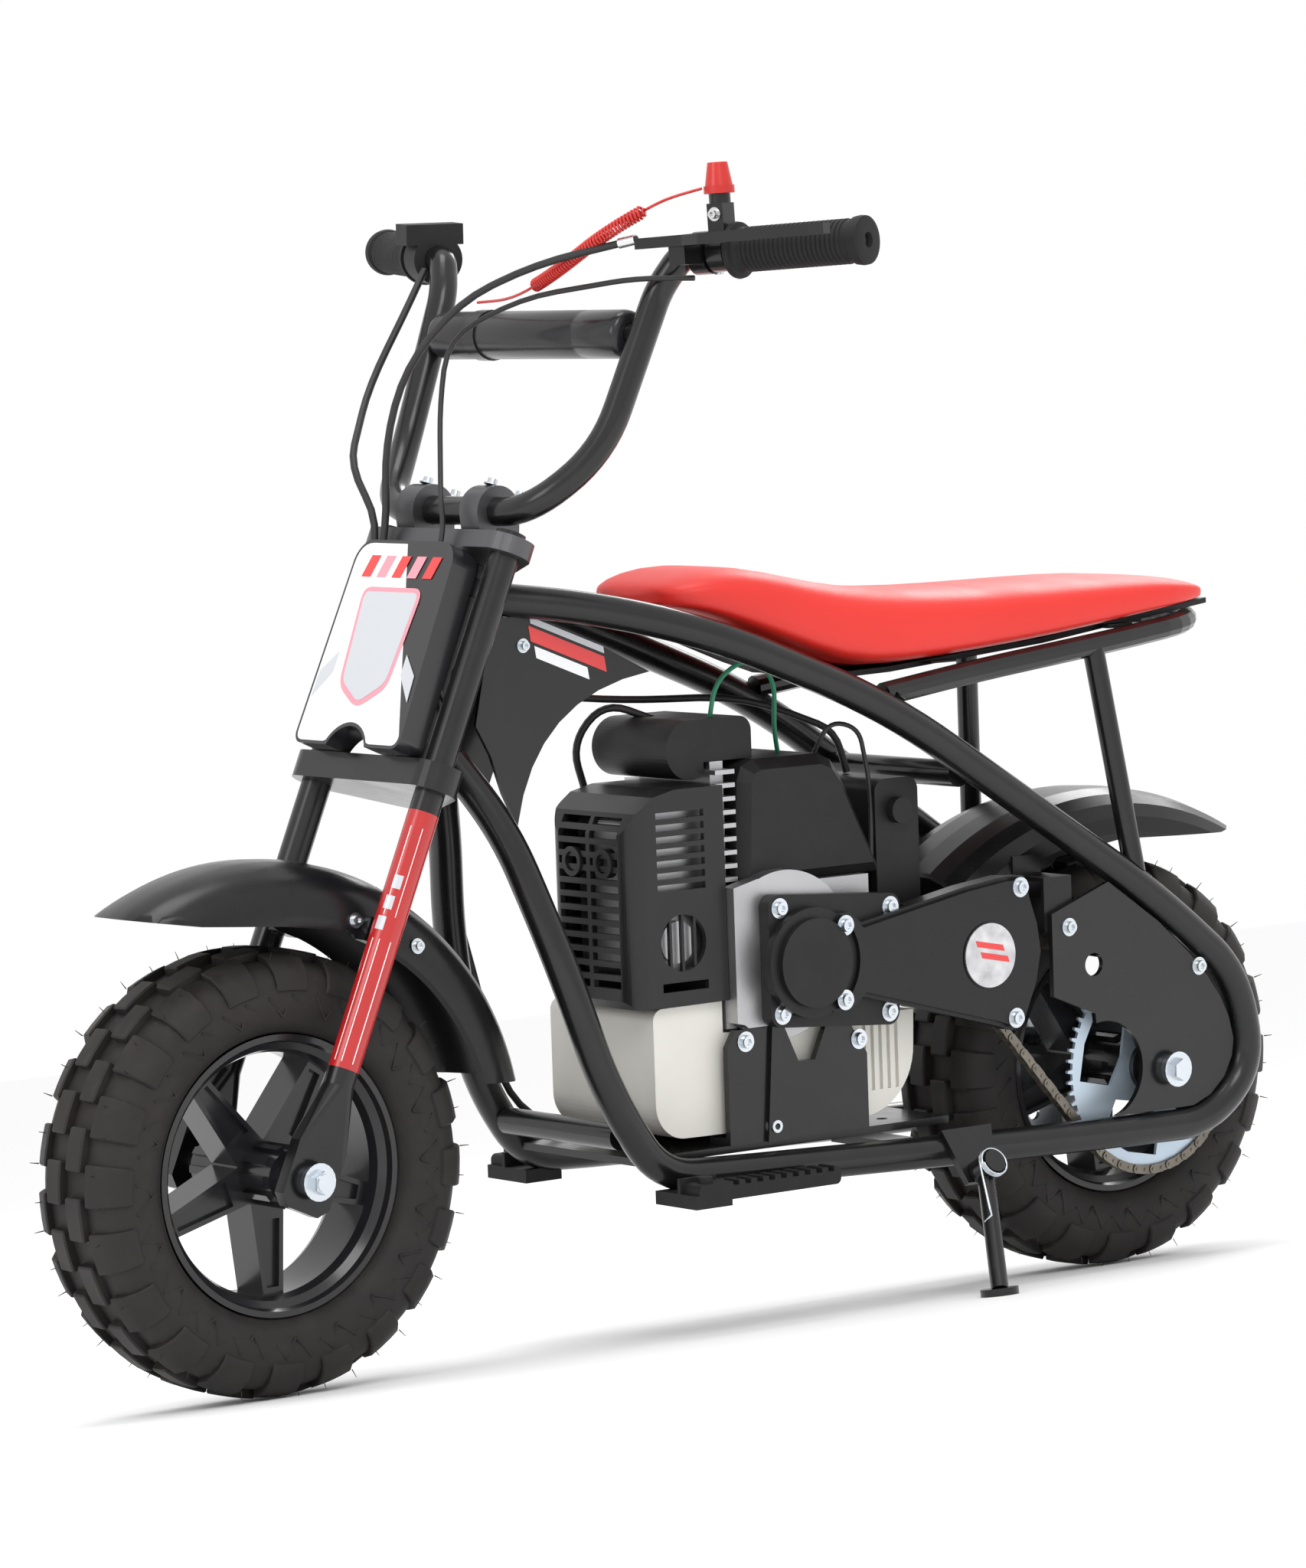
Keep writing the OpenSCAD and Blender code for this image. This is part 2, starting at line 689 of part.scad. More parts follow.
module kill_switch() {
    color(black) park() on_bar(1, 0.185) {
        bar_ring(12, 13);
        box([-31, -7, 0], [-12, 7, 12]);
        translate([-31, 0, 6]) rotate([0, -90, 0]) cylinder(h = 6, r = 7);
    }
}
module kill_cap() {
    color(red) park() on_bar(1, 0.185) translate([-37.2, 0, 6]) rotate([0, -90, 0]) {
        cylinder(h = 5, r = 10);
        translate([0, 0, 5]) cylinder(h = 15, r1 = 9, r2 = 6.5);
    }
}
module throttle_housing() {
    color(black) park() on_bar(-1, 0.085) {
        bar_ring(26, 17);
        box([-24, -22, 0], [-10, 18, 26]);
    }
}
brake_pts = [[-239, 128, 733], [-207, 60, 719], [-189, 0, 696], [-165, -30, 654],
    [-157, -45, 604], [-154, -42, 549], up_stem(46, -36, 372), up_stem(22, -30, 340),
    up_stem(2, -25, 312)];
throttle_pts = [[-262, -140, 716], [-240, -132, 690], [-204, -128, 640], [-151, -78, 590],
    [-154.5, -50, 552], up_stem(46, -47, 372), up_stem(28, -40, 332), up_stem(5, -30, 321)];
kill_pts = [[-266, 152, 707], [-242, 120, 708], [-216, 30, 697], [-196, -24, 672],
    [-176, -8, 630], [-154, 20, 570], [-154, 22, 552], up_stem(46, 30, 372),
    up_stem(26, 26, 330), up_stem(4, 26, 312)];
module cable(p, r) {
    color(black) park() sweep(bent(p, [for (q = p) 40], 4), r, 8);
}
module brake_cable() { cable(brake_pts, 2.5); }
module throttle_cable() { cable(throttle_pts, 2.5); }
module kill_wire() { cable(kill_pts, 1.8); }
tether_pts = [[-271.5, 155.5, 764], [-248, 146, 758], [-228, 110, 738], [-222, 60, 712], [-232, 0, 696], [-243, -54, 694]];
module kill_tether() {
    color(red) park() sweep(bent(tether_pts, [for (q = tether_pts) 30], 4), 2.2, 8);
}
rear_run = [up_stem(0, -26, 305), [-176, -46, 372], [-216, -66, 290], [-256, -72, 160],
    [-300, -76, 130.4], [-560, -82, 123], [-640, -76, 136], [-676, -70, 176.1]];
engine_run = [up_stem(-2, -27, 336), [-205, -27, 428], [-262, -27, 432], [-330, -24, 424],
    [-430, -20, 420], [-500, -10, 392], [-506, -6, 362.9]];
module cable_run() {
    color(black) park() {
        sweep(bent(rear_run, [for (q = rear_run) 40], 4), 2.5, 8);
        sweep(bent(engine_run, [for (q = engine_run) 40], 4), 2.5, 8);
    }
}
// Half of the tyre's section: radius, distance from the middle
tyre_half_pts = [[rim_r + 0.2, 31], [95, 37], [102, 41.5], [112, 43.4], [121, 43], [128, 40.5],
    [134, 35.5], [137.5, 28], [138.5, 12]];
// Outline of the lugs in the middle row and on the shoulder: radius, distance from the middle
middle_lug = [[137, 3], [tyre_r, 3], [tyre_r - 0.6, 19], [136, 19]];
shoulder_lug = [[136, 23], [tyre_r - 1.6, 23], [tyre_r - 5, 34], [tyre_r - 13, tyre_half - 3],
    [tyre_r - 21, tyre_half], [tyre_r - 24, tyre_half - 3], [130, 34]];
module lug_row(outline, s, start) {
    for (i = [0:lugs - 1]) rotate([0, 0, 360 * (i + start) / lugs]) mirror([0, 0, s])
        rotate_extrude(angle = 360 * lug_share / lugs) polygon(outline);
}
module tyre(at) {
    color(rubber) park() translate(at) rotate([-90, 0, 0]) {
        rotate_extrude() polygon(concat(tyre_half_pts,
            [for (i = [len(tyre_half_pts) - 1:-1:0]) [tyre_half_pts[i][0], -tyre_half_pts[i][1]]]));
        for (s = [0, 1]) {
            lug_row(middle_lug, s, s / 2);
            lug_row(shoulder_lug, s, (s + 1) / 2);
        }
    }
}
module front_tyre() { tyre(front); }
module rear_tyre() { tyre(rear); }
rim_pts = [[rim_r, rim_half], [rim_r, -rim_half], [rim_r - 4, -rim_half], [rim_r - 5.5, -29],
    [81, -25], [78.5, -19], [78.5, 19], [81, 25], [rim_r - 5.5, 29], [rim_r - 4, rim_half]];
hub_ribs = 10;
hub_r = 17.5;
rib_half = 42;
module rim_body(hub_lo, hub_hi, bore) {
    difference() {
        union() {
            rotate_extrude() polygon(rim_pts);
            translate([0, 0, hub_lo]) cylinder(h = hub_hi - hub_lo, r = hub_r);
            for (k = [0:hub_ribs - 1]) rotate([0, 0, 360 * k / hub_ribs])
                box([14, -2.5, max(hub_lo, -rib_half)], [hub_r + 3, 2.5, min(hub_hi, rib_half)]);
            translate([0, 0, -15]) linear_extrude(30) {
                circle(r = hub_r + 5);
                for (i = [0:spokes - 1]) rotate([0, 0, 360 * i / spokes + 20])
                    polygon([[14, 13], [14, -13], [80, -7.5], [80, 7.5]]);
            }
        }
        for (i = [0:spokes - 1], z = [-16, 11]) rotate([0, 0, 360 * i / spokes + 20])
            translate([0, 0, z]) linear_extrude(5) polygon([[30, 8.6], [30, -8.6], [74, -4.6], [74, 4.6]]);
        translate([0, 0, hub_lo - 1]) cylinder(h = hub_hi - hub_lo + 2, r = bore);
    }
}
module front_rim() {
    color(black) park() translate(front) rotate([-90, 0, 0]) rim_body(-45, 45, axle_r + run_gap);
}
module rear_rim() {
    color(black) park() translate(rear) rotate([-90, 0, 0]) rim_body(-64, 72, axle_r + run_gap);
}
module rear_sprocket() {
    color(steel) park() slab(chain_y - 1.2, chain_y + 1.2) translate([rear[0], rear[2]])
        difference() {
            polygon(wheel_teeth(ring_teeth, ring_r, 1.6, -2.6));
            circle(r = hub_r + weld);
            for (i = [0:3]) rotate(90 * i + 20) difference() {
                polygon([[30, -22], [58, -26], [62, 0], [58, 26], [30, 22], [26, 0]]);
            }
        }
}
module brake_disc() {
    color(steel) park() slab(-59, -56) translate([rear[0], rear[2]]) difference() {
        circle(r = 60);
        circle(r = hub_r + weld);
        for (i = [0:7]) rotate(45 * i) translate([44, 0]) circle(r = 5);
    }
}
stand_at = [-520, 112, 98];
stand_dir = unit([0.30, 0.48, -0.82]);
stand_len = (stand_at[2] * cos(lean) - stand_at[1] * sin(lean) + ground_drop)
    / (stand_dir[1] * sin(lean) - stand_dir[2] * cos(lean));
stand_foot = stand_at + stand_dir * stand_len;
// Local Z along the stand's hinge, outward and up; local Y out and down; local X forward
module at_stand() {
    translate(stand_at) rotate([-atan2(-stand_dir[2], stand_dir[1]), 0, 0]) children();
}
module stand_bracket() {
    color(black) park() {
        at_stand() {
            translate([0, 0, -12]) cylinder(h = 25, r = 5);
            translate([0, 0, 8]) cylinder(h = 5, r = 8);
        }
        difference() {
            at_stand() translate([0, 0, -12]) linear_extrude(5)
                polygon([[-12, 6], [12, 6], [18, -34], [-26, -34]]);
            rod(loop_pts[8], loop_pts[9], tube_r + weld);
        }
    }
}
module side_stand() {
    color(black) park() {
        difference() {
            union() {
                at_stand() translate([0, 0, -6.5]) cylinder(h = 13, r = 9);
                rod(stand_at + stand_dir * 8, stand_foot + [0, 0, 4], 6);
            }
            at_stand() translate([0, 0, -20]) cylinder(h = 40, r = 5.05);
        }
        translate(stand_foot) rotate([lean, 0, 0]) difference() {
            cylinder(h = 5, r = 13);
            translate([0, 0, 4.9]) cylinder(h = 5, r = 2);
        }
    }
}

frame_loop_left();
frame_loop_right();
head_tube();
cross_tubes();
gusset_panels();
seat_rail();
engine_plate();
mount_bracket();
engine_block();
cooling_shroud();
top_cover();
muffler();
muffler_guard();
fuel_tank();
tank_cap();
recoil_starter();
air_filter();
drive_cover();
clutch_housing();
drive_sprocket();
chain();
dropout_plates();
rear_axle();
brake_caliper();
rear_fender();
seat_pan();
seat_cushion();
foot_peg_left();
foot_peg_right();
fork_leg_left();
fork_leg_right();
lower_clamp();
upper_clamp();
front_axle();
front_fender();
number_plate();
handlebar();
bar_pad();
grip_left();
grip_right();
brake_lever();
kill_switch();
kill_cap();
throttle_housing();
brake_cable();
throttle_cable();
kill_wire();
kill_tether();
cable_run();
stand_bracket();
front_tyre();
front_rim();
rear_tyre();
rear_rim();
rear_sprocket();
brake_disc();
side_stand();
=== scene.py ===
import bpy, bmesh, math, json
from mathutils import Vector, Matrix


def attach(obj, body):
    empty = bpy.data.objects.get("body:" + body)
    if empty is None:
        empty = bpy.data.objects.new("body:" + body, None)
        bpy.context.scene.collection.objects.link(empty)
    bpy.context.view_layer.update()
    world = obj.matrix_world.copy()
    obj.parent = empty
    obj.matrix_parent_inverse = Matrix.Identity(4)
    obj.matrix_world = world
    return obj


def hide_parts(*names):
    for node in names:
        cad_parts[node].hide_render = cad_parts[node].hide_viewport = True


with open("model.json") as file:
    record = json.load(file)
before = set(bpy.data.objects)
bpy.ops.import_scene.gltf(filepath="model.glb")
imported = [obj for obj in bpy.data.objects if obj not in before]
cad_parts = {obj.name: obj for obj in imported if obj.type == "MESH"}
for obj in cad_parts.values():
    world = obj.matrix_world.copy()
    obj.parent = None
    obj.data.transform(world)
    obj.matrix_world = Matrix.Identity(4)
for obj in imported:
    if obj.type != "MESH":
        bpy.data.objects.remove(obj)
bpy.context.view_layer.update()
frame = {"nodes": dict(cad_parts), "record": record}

# The bike is drawn upright in millimetres with its front axle over x = 0, as in part.scad, then leaned on its stand
LEAN, RAKE = math.radians(8), math.radians(23.85)
PARK = Matrix.Translation((0.354, -0.106845, 0.00239)) @ Matrix.Rotation(-LEAN, 4, 'X')
WHEELBASE, TYRE_R, FORK_OFFSET = 708, 145, 25
TO_METRES = Matrix.Scale(0.001, 4)
FRONT, REAR = Vector((0, 0, TYRE_R)), Vector((-WHEELBASE, 0, TYRE_R))
STEM_FOOT = Vector((-FORK_OFFSET / math.cos(RAKE), 0, TYRE_R))
STEM = Matrix.Translation(STEM_FOOT) @ Matrix.Rotation(-RAKE, 4, 'Y')
BAR_ELBOW, BAR_END = Vector((-272, 132, 722)), Vector((-318, 262, 728))
SIDES = (-1, 1)


# ---------------------------------------------------------------- camera, light, floor

CAMERA_TURN, CAMERA_PITCH, CAMERA_ROLL = math.radians(37.28), math.radians(4.89), math.radians(-1.95)
CAMERA_PLACE, LENS_MM = (2.40689, 3.60089, 0.75566), 155.76
PAPER_WHITE, AIM = 0.96, Vector((0, 0, 0.35))
# name, place, size and watts
LAMPS = (("key", (1.2, 3.0, 2.8), 1.6, 42), ("fill", (3.2, 0.4, 1.6), 1.2, 16), ("rim", (-2.6, -1.6, 2.4), 1.2, 26),
         ("top", (0.2, 0.2, 3.2), 1.2, 20))


def studio():
    """The photograph's camera over a pale sheet, under soft lamps."""
    az, pitch, roll = CAMERA_TURN, CAMERA_PITCH, CAMERA_ROLL
    back = Vector((math.sin(az) * math.cos(pitch), math.cos(az) * math.cos(pitch), math.sin(pitch)))
    right0 = (-back).cross(Vector((0, 0, 1))).normalized()
    up0 = right0.cross(-back)
    right = right0 * math.cos(roll) + up0 * math.sin(roll)
    up = up0 * math.cos(roll) - right0 * math.sin(roll)
    turn = Matrix((right, up, back)).transposed().to_4x4()
    lens = bpy.data.cameras.new("view")
    lens.sensor_fit, lens.sensor_height, lens.lens = 'VERTICAL', 36, LENS_MM
    lens.clip_end = 50
    camera = bpy.data.objects.new("view", lens)
    camera.matrix_world = PARK @ Matrix.Translation(CAMERA_PLACE) @ turn
    bpy.context.collection.objects.link(camera)
    bpy.context.scene.camera = camera

    floor_mesh = bpy.data.meshes.new("floor")
    bm = bmesh.new()
    bmesh.ops.create_grid(bm, x_segments=1, y_segments=1, size=30)
    bm.to_mesh(floor_mesh)
    floor = bpy.data.objects.new("floor", floor_mesh)
    bpy.context.collection.objects.link(floor)
    paper = bpy.data.materials.new("pale_paper")
    paper.use_nodes = True
    surface = paper.node_tree.nodes["Principled BSDF"].inputs
    surface["Base Color"].default_value = (PAPER_WHITE, PAPER_WHITE, PAPER_WHITE, 1)
    surface["Roughness"].default_value = 0.9
    floor_mesh.materials.append(paper)

    world = bpy.data.worlds.new("studio")
    world.use_nodes = True
    sky = world.node_tree.nodes["Background"].inputs
    sky["Color"].default_value, sky["Strength"].default_value = (1, 1, 1, 1), 1.0
    bpy.context.scene.world = world
    bpy.context.scene.view_settings.view_transform = 'Standard'
    for name, place, size, power in LAMPS:
        soft = bpy.data.lights.new(name, 'AREA')
        soft.size, soft.energy = size, power
        lamp = bpy.data.objects.new(name, soft)
        lamp.location = place
        lamp.rotation_euler = (AIM - Vector(place)).to_track_quat('-Z', 'Y').to_euler()
        bpy.context.collection.objects.link(lamp)


studio()


# ---------------------------------------------------------------- surface effects and finishes

def new_group(name, inputs, outputs):
    """An empty effect with its named inputs and outputs."""
    group = bpy.data.node_groups.new(name, 'ShaderNodeTree')
    for label, value in inputs:
        kind = 'NodeSocketColor' if isinstance(value, tuple) else 'NodeSocketFloat'
        group.interface.new_socket(label, in_out='INPUT', socket_type=kind).default_value = value
    for label, kind in outputs:
        group.interface.new_socket(label, in_out='OUTPUT', socket_type=kind)
    return group, group.nodes.new('NodeGroupInput'), group.nodes.new('NodeGroupOutput')


def add(tree, kind, links=(), **values):
    """Adds a node with its settings. Each socket gets a link, or a plain value."""
    node = tree.nodes.new(kind)
    for key, value in values.items():
        setattr(node, key, value)
    for socket, source in links:
        if hasattr(source, 'is_output'):
            tree.links.new(source, node.inputs[socket])
        else:
            node.inputs[socket].default_value = source
    return node


def mottle_group():
    """One colour with soft patches of a second."""
    group, gin, gout = new_group("mottled_colour", [("Colour", (0.5, 0.5, 0.5, 1)), ("Second", (0.4, 0.4, 0.4, 1)),
                                                    ("Scale", 30.0), ("Amount", 0.5)], [("Colour", 'NodeSocketColor')])
    place = add(group, 'ShaderNodeTexCoord')
    noise = add(group, 'ShaderNodeTexNoise', [("Vector", place.outputs["Object"]), ("Scale", gin.outputs["Scale"]),
                                              ("Detail", 4.0)])
    share = add(group, 'ShaderNodeMath', [(0, noise.outputs["Fac"]), (1, gin.outputs["Amount"])], operation='MULTIPLY')
    blend = add(group, 'ShaderNodeMix', [(0, share.outputs[0]), (6, gin.outputs["Colour"]), (7, gin.outputs["Second"])],
                data_type='RGBA')
    group.links.new(blend.outputs[2], gout.inputs[0])
    return group


def dust_group():
    """Dust in spots, more of it where the surface faces up."""
    group, gin, gout = new_group("settled_dust", [("Colour", (0.1, 0.1, 0.1, 1)), ("Dust", (0.4, 0.36, 0.32, 1)),
                                                  ("Amount", 0.2)], [("Colour", 'NodeSocketColor')])
    place = add(group, 'ShaderNodeTexCoord')
    shape = add(group, 'ShaderNodeNewGeometry')
    facing = add(group, 'ShaderNodeSeparateXYZ', [(0, shape.outputs["Normal"])])
    up = add(group, 'ShaderNodeMapRange', [(0, facing.outputs[2]), (1, 0.2), (2, 1.0), (3, 0.25), (4, 1.0)])
    noise = add(group, 'ShaderNodeTexNoise', [("Vector", place.outputs["Object"]), ("Scale", 55.0), ("Detail", 6.0)])
    spots = add(group, 'ShaderNodeMapRange', [(0, noise.outputs["Fac"]), (1, 0.42), (2, 0.72)])
    both = add(group, 'ShaderNodeMath', [(0, up.outputs[0]), (1, spots.outputs[0])], operation='MULTIPLY')
    share = add(group, 'ShaderNodeMath', [(0, both.outputs[0]), (1, gin.outputs["Amount"])], operation='MULTIPLY')
    blend = add(group, 'ShaderNodeMix', [(0, share.outputs[0]), (6, gin.outputs["Colour"]), (7, gin.outputs["Dust"])],
                data_type='RGBA')
    group.links.new(blend.outputs[2], gout.inputs[0])
    return group


def grain_group():
    """Fine and coarse grain as one height."""
    group, gin, gout = new_group("moulded_grain", [("Scale", 900.0), ("Coarse", 60.0), ("Share", 0.5)],
                                 [("Height", 'NodeSocketFloat')])
    place = add(group, 'ShaderNodeTexCoord')
    fine = add(group, 'ShaderNodeTexNoise', [("Vector", place.outputs["Object"]), ("Scale", gin.outputs["Scale"]),
                                             ("Detail", 3.0)])
    wide = add(group, 'ShaderNodeTexNoise', [("Vector", place.outputs["Object"]), ("Scale", gin.outputs["Coarse"]),
                                             ("Detail", 2.0)])
    blend = add(group, 'ShaderNodeMix', [(0, gin.outputs["Share"]), (2, fine.outputs["Fac"]), (3, wide.outputs["Fac"])])
    group.links.new(blend.outputs[0], gout.inputs[0])
    return group


def smudge_group():
    """Roughness that wanders between two values, as on handled surfaces."""
    group, gin, gout = new_group("handled_gloss", [("Low", 0.2), ("High", 0.4), ("Scale", 14.0)],
                                 [("Roughness", 'NodeSocketFloat')])
    place = add(group, 'ShaderNodeTexCoord')
    noise = add(group, 'ShaderNodeTexNoise', [("Vector", place.outputs["Object"]), ("Scale", gin.outputs["Scale"]),
                                              ("Detail", 5.0), ("Distortion", 0.6)])
    span = add(group, 'ShaderNodeMapRange', [(0, noise.outputs["Fac"]), (1, 0.3), (2, 0.7), (3, gin.outputs["Low"]),
                                             (4, gin.outputs["High"])])
    group.links.new(span.outputs[0], gout.inputs[0])
    return group


EFFECTS = {"mottle": mottle_group(), "dust": dust_group(), "grain": grain_group(), "smudge": smudge_group()}


def effect(tree, name, links):
    """Adds one of the shared effects to a material."""
    return add(tree, 'ShaderNodeGroup', links, node_tree=EFFECTS[name])


COAT_ROUGHNESS = 0.12


def rgba(colour):
    return (*colour, 1.0)


def finish(name, colour, second=None, rough=(0.3, 0.45), metallic=0.0, vary=0.5, vary_scale=30.0, dust=0.0,
           grain=900.0, coarse=60.0, share=0.3, bump=0.1, depth=0.0005, coat=0.0, specular=0.5):
    """A surface: its colour with patches and dust, handled gloss, and a fine grain in relief."""
    made = bpy.data.materials.new(name)
    made.use_nodes = True
    tree = made.node_tree
    shader = tree.nodes["Principled BSDF"]
    shader.inputs["Metallic"].default_value = metallic
    shader.inputs["Coat Weight"].default_value = coat
    shader.inputs["Coat Roughness"].default_value = COAT_ROUGHNESS
    shader.inputs["Specular IOR Level"].default_value = specular
    darker = tuple(c * 0.6 for c in colour)
    other = rgba(second or darker)
    tone = effect(tree, "mottle", [("Colour", rgba(colour)), ("Second", other), ("Scale", vary_scale),
                                   ("Amount", vary)])
    out = tone.outputs[0]
    if dust:
        out = effect(tree, "dust", [("Colour", out), ("Amount", dust)]).outputs[0]
    tree.links.new(out, shader.inputs["Base Color"])
    gloss = effect(tree, "smudge", [("Low", rough[0]), ("High", rough[1])])
    tree.links.new(gloss.outputs[0], shader.inputs["Roughness"])
    if bump:
        height = effect(tree, "grain", [("Scale", grain), ("Coarse", coarse), ("Share", share)])
        relief = add(tree, 'ShaderNodeBump', [("Height", height.outputs[0]), ("Strength", bump), ("Distance", depth)])
        tree.links.new(relief.outputs[0], shader.inputs["Normal"])
    return made


# Keys are the record's material slots, or looks of single pieces
FINISH = {
    "frame_paint": finish("gloss_black_paint", (0.006, 0.006, 0.0065), rough=(0.2, 0.34), bump=0.05, coat=0.25,
                          dust=0.02, specular=0.35),
    "engine_alloy": finish("cast_alloy", (0.52, 0.52, 0.53), (0.36, 0.36, 0.38), rough=(0.34, 0.5), metallic=1.0,
                           bump=0.25, grain=500, dust=0.1),
    "zinc": finish("zinc_plate", (0.62, 0.68, 0.76), (0.7, 0.68, 0.6), rough=(0.2, 0.34), metallic=1.0, bump=0.06),
    "blued_zinc": finish("blue_zinc", (0.52, 0.63, 0.74), (0.62, 0.7, 0.78), rough=(0.3, 0.42), metallic=0.55,
                         bump=0.05),
    "shroud_plastic": finish("moulded_black", (0.011, 0.011, 0.012), rough=(0.36, 0.5), bump=0.3, grain=1400,
                             dust=0.03, specular=0.3),
    "guard_steel": finish("satin_black_cage", (0.014, 0.014, 0.015), rough=(0.25, 0.4), bump=0.1, dust=0.02,
                          specular=0.35),
    "tank_plastic": finish("milky_tank", (0.74, 0.73, 0.68), (0.6, 0.58, 0.52), rough=(0.35, 0.5), bump=0.12),
    "fender_plastic": finish("fender_black", (0.009, 0.009, 0.01), rough=(0.22, 0.34), bump=0.08, dust=0.02,
                             specular=0.32),
    "seat_vinyl": finish("red_vinyl", (0.72, 0.022, 0.014), (0.6, 0.018, 0.012), rough=(0.4, 0.52), vary_scale=12,
                         bump=0.35, grain=520, coarse=30, share=0.15),
    "plate_plastic": finish("plate_shell", (0.014, 0.014, 0.016), rough=(0.2, 0.3), bump=0.06, coat=0.3),
    "white_print": finish("white_print", (0.86, 0.87, 0.88), (0.8, 0.8, 0.82), rough=(0.22, 0.32), bump=0.03, coat=0.4),
    "grey_print": finish("grey_print", (0.55, 0.57, 0.6), (0.5, 0.51, 0.54), rough=(0.22, 0.32), bump=0.03, coat=0.4),
    "pink_print": finish("pink_print", (0.85, 0.3, 0.36), (0.8, 0.26, 0.32), rough=(0.22, 0.32), bump=0.03, coat=0.4),
    "red_print": finish("red_print", (0.72, 0.03, 0.03), (0.66, 0.03, 0.03), rough=(0.22, 0.32), bump=0.03, coat=0.4),
    "marbled": finish("marbled_badge", (0.85, 0.85, 0.86), (0.3, 0.3, 0.32), rough=(0.2, 0.3), vary=1.1,
                      vary_scale=95.0, bump=0.03, coat=0.5),
    "bright_steel": finish("polished_steel", (0.72, 0.72, 0.73), (0.6, 0.6, 0.61), rough=(0.14, 0.26), metallic=1.0,
                           bump=0.04),
    "dark_steel": finish("oiled_chain", (0.12, 0.11, 0.1), (0.3, 0.27, 0.22), rough=(0.3, 0.5), metallic=0.9, vary=0.8,
                         vary_scale=120.0, bump=0.12, dust=0.15),
    "dark_clamp": finish("dark_clamp", (0.1, 0.1, 0.105), (0.16, 0.16, 0.165), rough=(0.28, 0.4), metallic=0.8,
                         bump=0.1),
    "black_rubber": finish("grip_rubber", (0.011, 0.011, 0.012), rough=(0.55, 0.7), bump=0.3, dust=0.03,
                           specular=0.3),
    "tyre_rubber": finish("tyre_rubber", (0.013, 0.0125, 0.013), (0.032, 0.025, 0.02), rough=(0.5, 0.7), bump=0.4,
                          grain=420, dust=0.05, specular=0.28),
    "rim_alloy": finish("rim_black", (0.014, 0.014, 0.016), rough=(0.18, 0.3), coat=0.25, bump=0.05, dust=0.02,
                        specular=0.4),
    "foam_vinyl": finish("pad_vinyl", (0.016, 0.016, 0.018), rough=(0.2, 0.32), bump=0.3, grain=600, specular=0.45),
    "red_plastic": finish("red_plastic", (0.6, 0.02, 0.014), rough=(0.25, 0.36), bump=0.1),
    "cable_rubber": finish("cable_sleeve", (0.014, 0.014, 0.014), rough=(0.42, 0.55), bump=0.1),
    "red_sleeve": finish("red_sleeve", (0.5, 0.014, 0.014), rough=(0.22, 0.32), coat=0.4, bump=0.04),
    "green_wire": finish("green_wire", (0.01, 0.2, 0.1), rough=(0.35, 0.45), bump=0.05),
}


# ---------------------------------------------------------------- making and placing pieces

def settle(piece, look, body, replaces):
    """Puts a piece on its body, gives it its finish and hides the solids it stands for."""
    bpy.context.collection.objects.link(piece)
    piece.data.materials.append(FINISH[look])
    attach(piece, body)
    if replaces:
        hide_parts(*replaces)
    return piece


def keep(name, bm, look, body, replaces=(), steer=False, smooth=True, angle=40):
    """Makes a piece of a mesh drawn in bike millimetres, or along the fork's stem when it steers."""
    if steer:
        bmesh.ops.transform(bm, matrix=STEM, verts=bm.verts)
    bmesh.ops.transform(bm, matrix=PARK @ TO_METRES, verts=bm.verts)
    mesh = bpy.data.meshes.new(name)
    bm.to_mesh(mesh)
    bm.free()
    if smooth:
        mesh.shade_smooth()
        mesh.set_sharp_from_angle(angle=math.radians(angle))
    return settle(bpy.data.objects.new(name, mesh), look, body, replaces)


def along(a, b):
    """Matrix that puts local Z at a, pointing to b."""
    a, b = Vector(a), Vector(b)
    return Matrix.Translation(a) @ (b - a).to_track_quat('Z', 'Y').to_matrix().to_4x4()


def disc(bm, at, toward, r, depth, sides=24, r2=None):
    """A round or many-sided bar from a point along a direction."""
    spot = along(at, Vector(at) + Vector(toward)) @ Matrix.Translation((0, 0, depth / 2))
    return bmesh.ops.create_cone(bm, cap_ends=True, segments=sides, radius1=r, radius2=r if r2 is None else r2,
                                 depth=depth, matrix=spot)["verts"]


WASHER = 0.9


def bolt(bm, at, toward, r, proud=3.4, socket=True):
    """A socket screw's head, or a six-sided nut, on its washer."""
    at, toward = Vector(at), Vector(toward).normalized()
    disc(bm, at, toward, r * 1.5, WASHER, 20)
    head = disc(bm, at + toward * WASHER, toward, r, proud, 18 if socket else 6, r * 0.93)
    if socket:
        tops = [f for f in {f for v in head for f in v.link_faces} if f.normal.dot(toward) > 0.9]
        bmesh.ops.inset_region(bm, faces=tops, thickness=r * 0.45, depth=0)
        bmesh.ops.inset_region(bm, faces=tops, thickness=0.01, depth=-proud * 0.5)


def route(points, bend, steps=6, closed=False):
    """Straight runs joined by quadratic bends, as part.scad's bent() makes them."""
    corners = [Vector(p) for p in points]
    sizes = bend if hasattr(bend, "__len__") else [bend] * len(corners)
    path = []
    for i, here in enumerate(corners):
        if not closed and i in (0, len(corners) - 1) or sizes[i] == 0:
            path.append(here)
            continue
        before, after = corners[i - 1], corners[(i + 1) % len(corners)]
        reach = min(sizes[i], (before - here).length * 0.49, (after - here).length * 0.49)
        a, b = here + (before - here).normalized() * reach, here + (after - here).normalized() * reach
        path += [a.lerp(here, k / steps).lerp(here.lerp(b, k / steps), k / steps) for k in range(steps + 1)]
    return path


def up_stem(x, y, z):
    """Bike point of a place given along the fork's stem."""
    return STEM @ Vector((x, y, z))


def mirrored(points):
    """A path from the middle outward, given its other half first."""
    return [Vector((p[0], -p[1], p[2])) for p in reversed(points[1:])] + [Vector(p) for p in points]


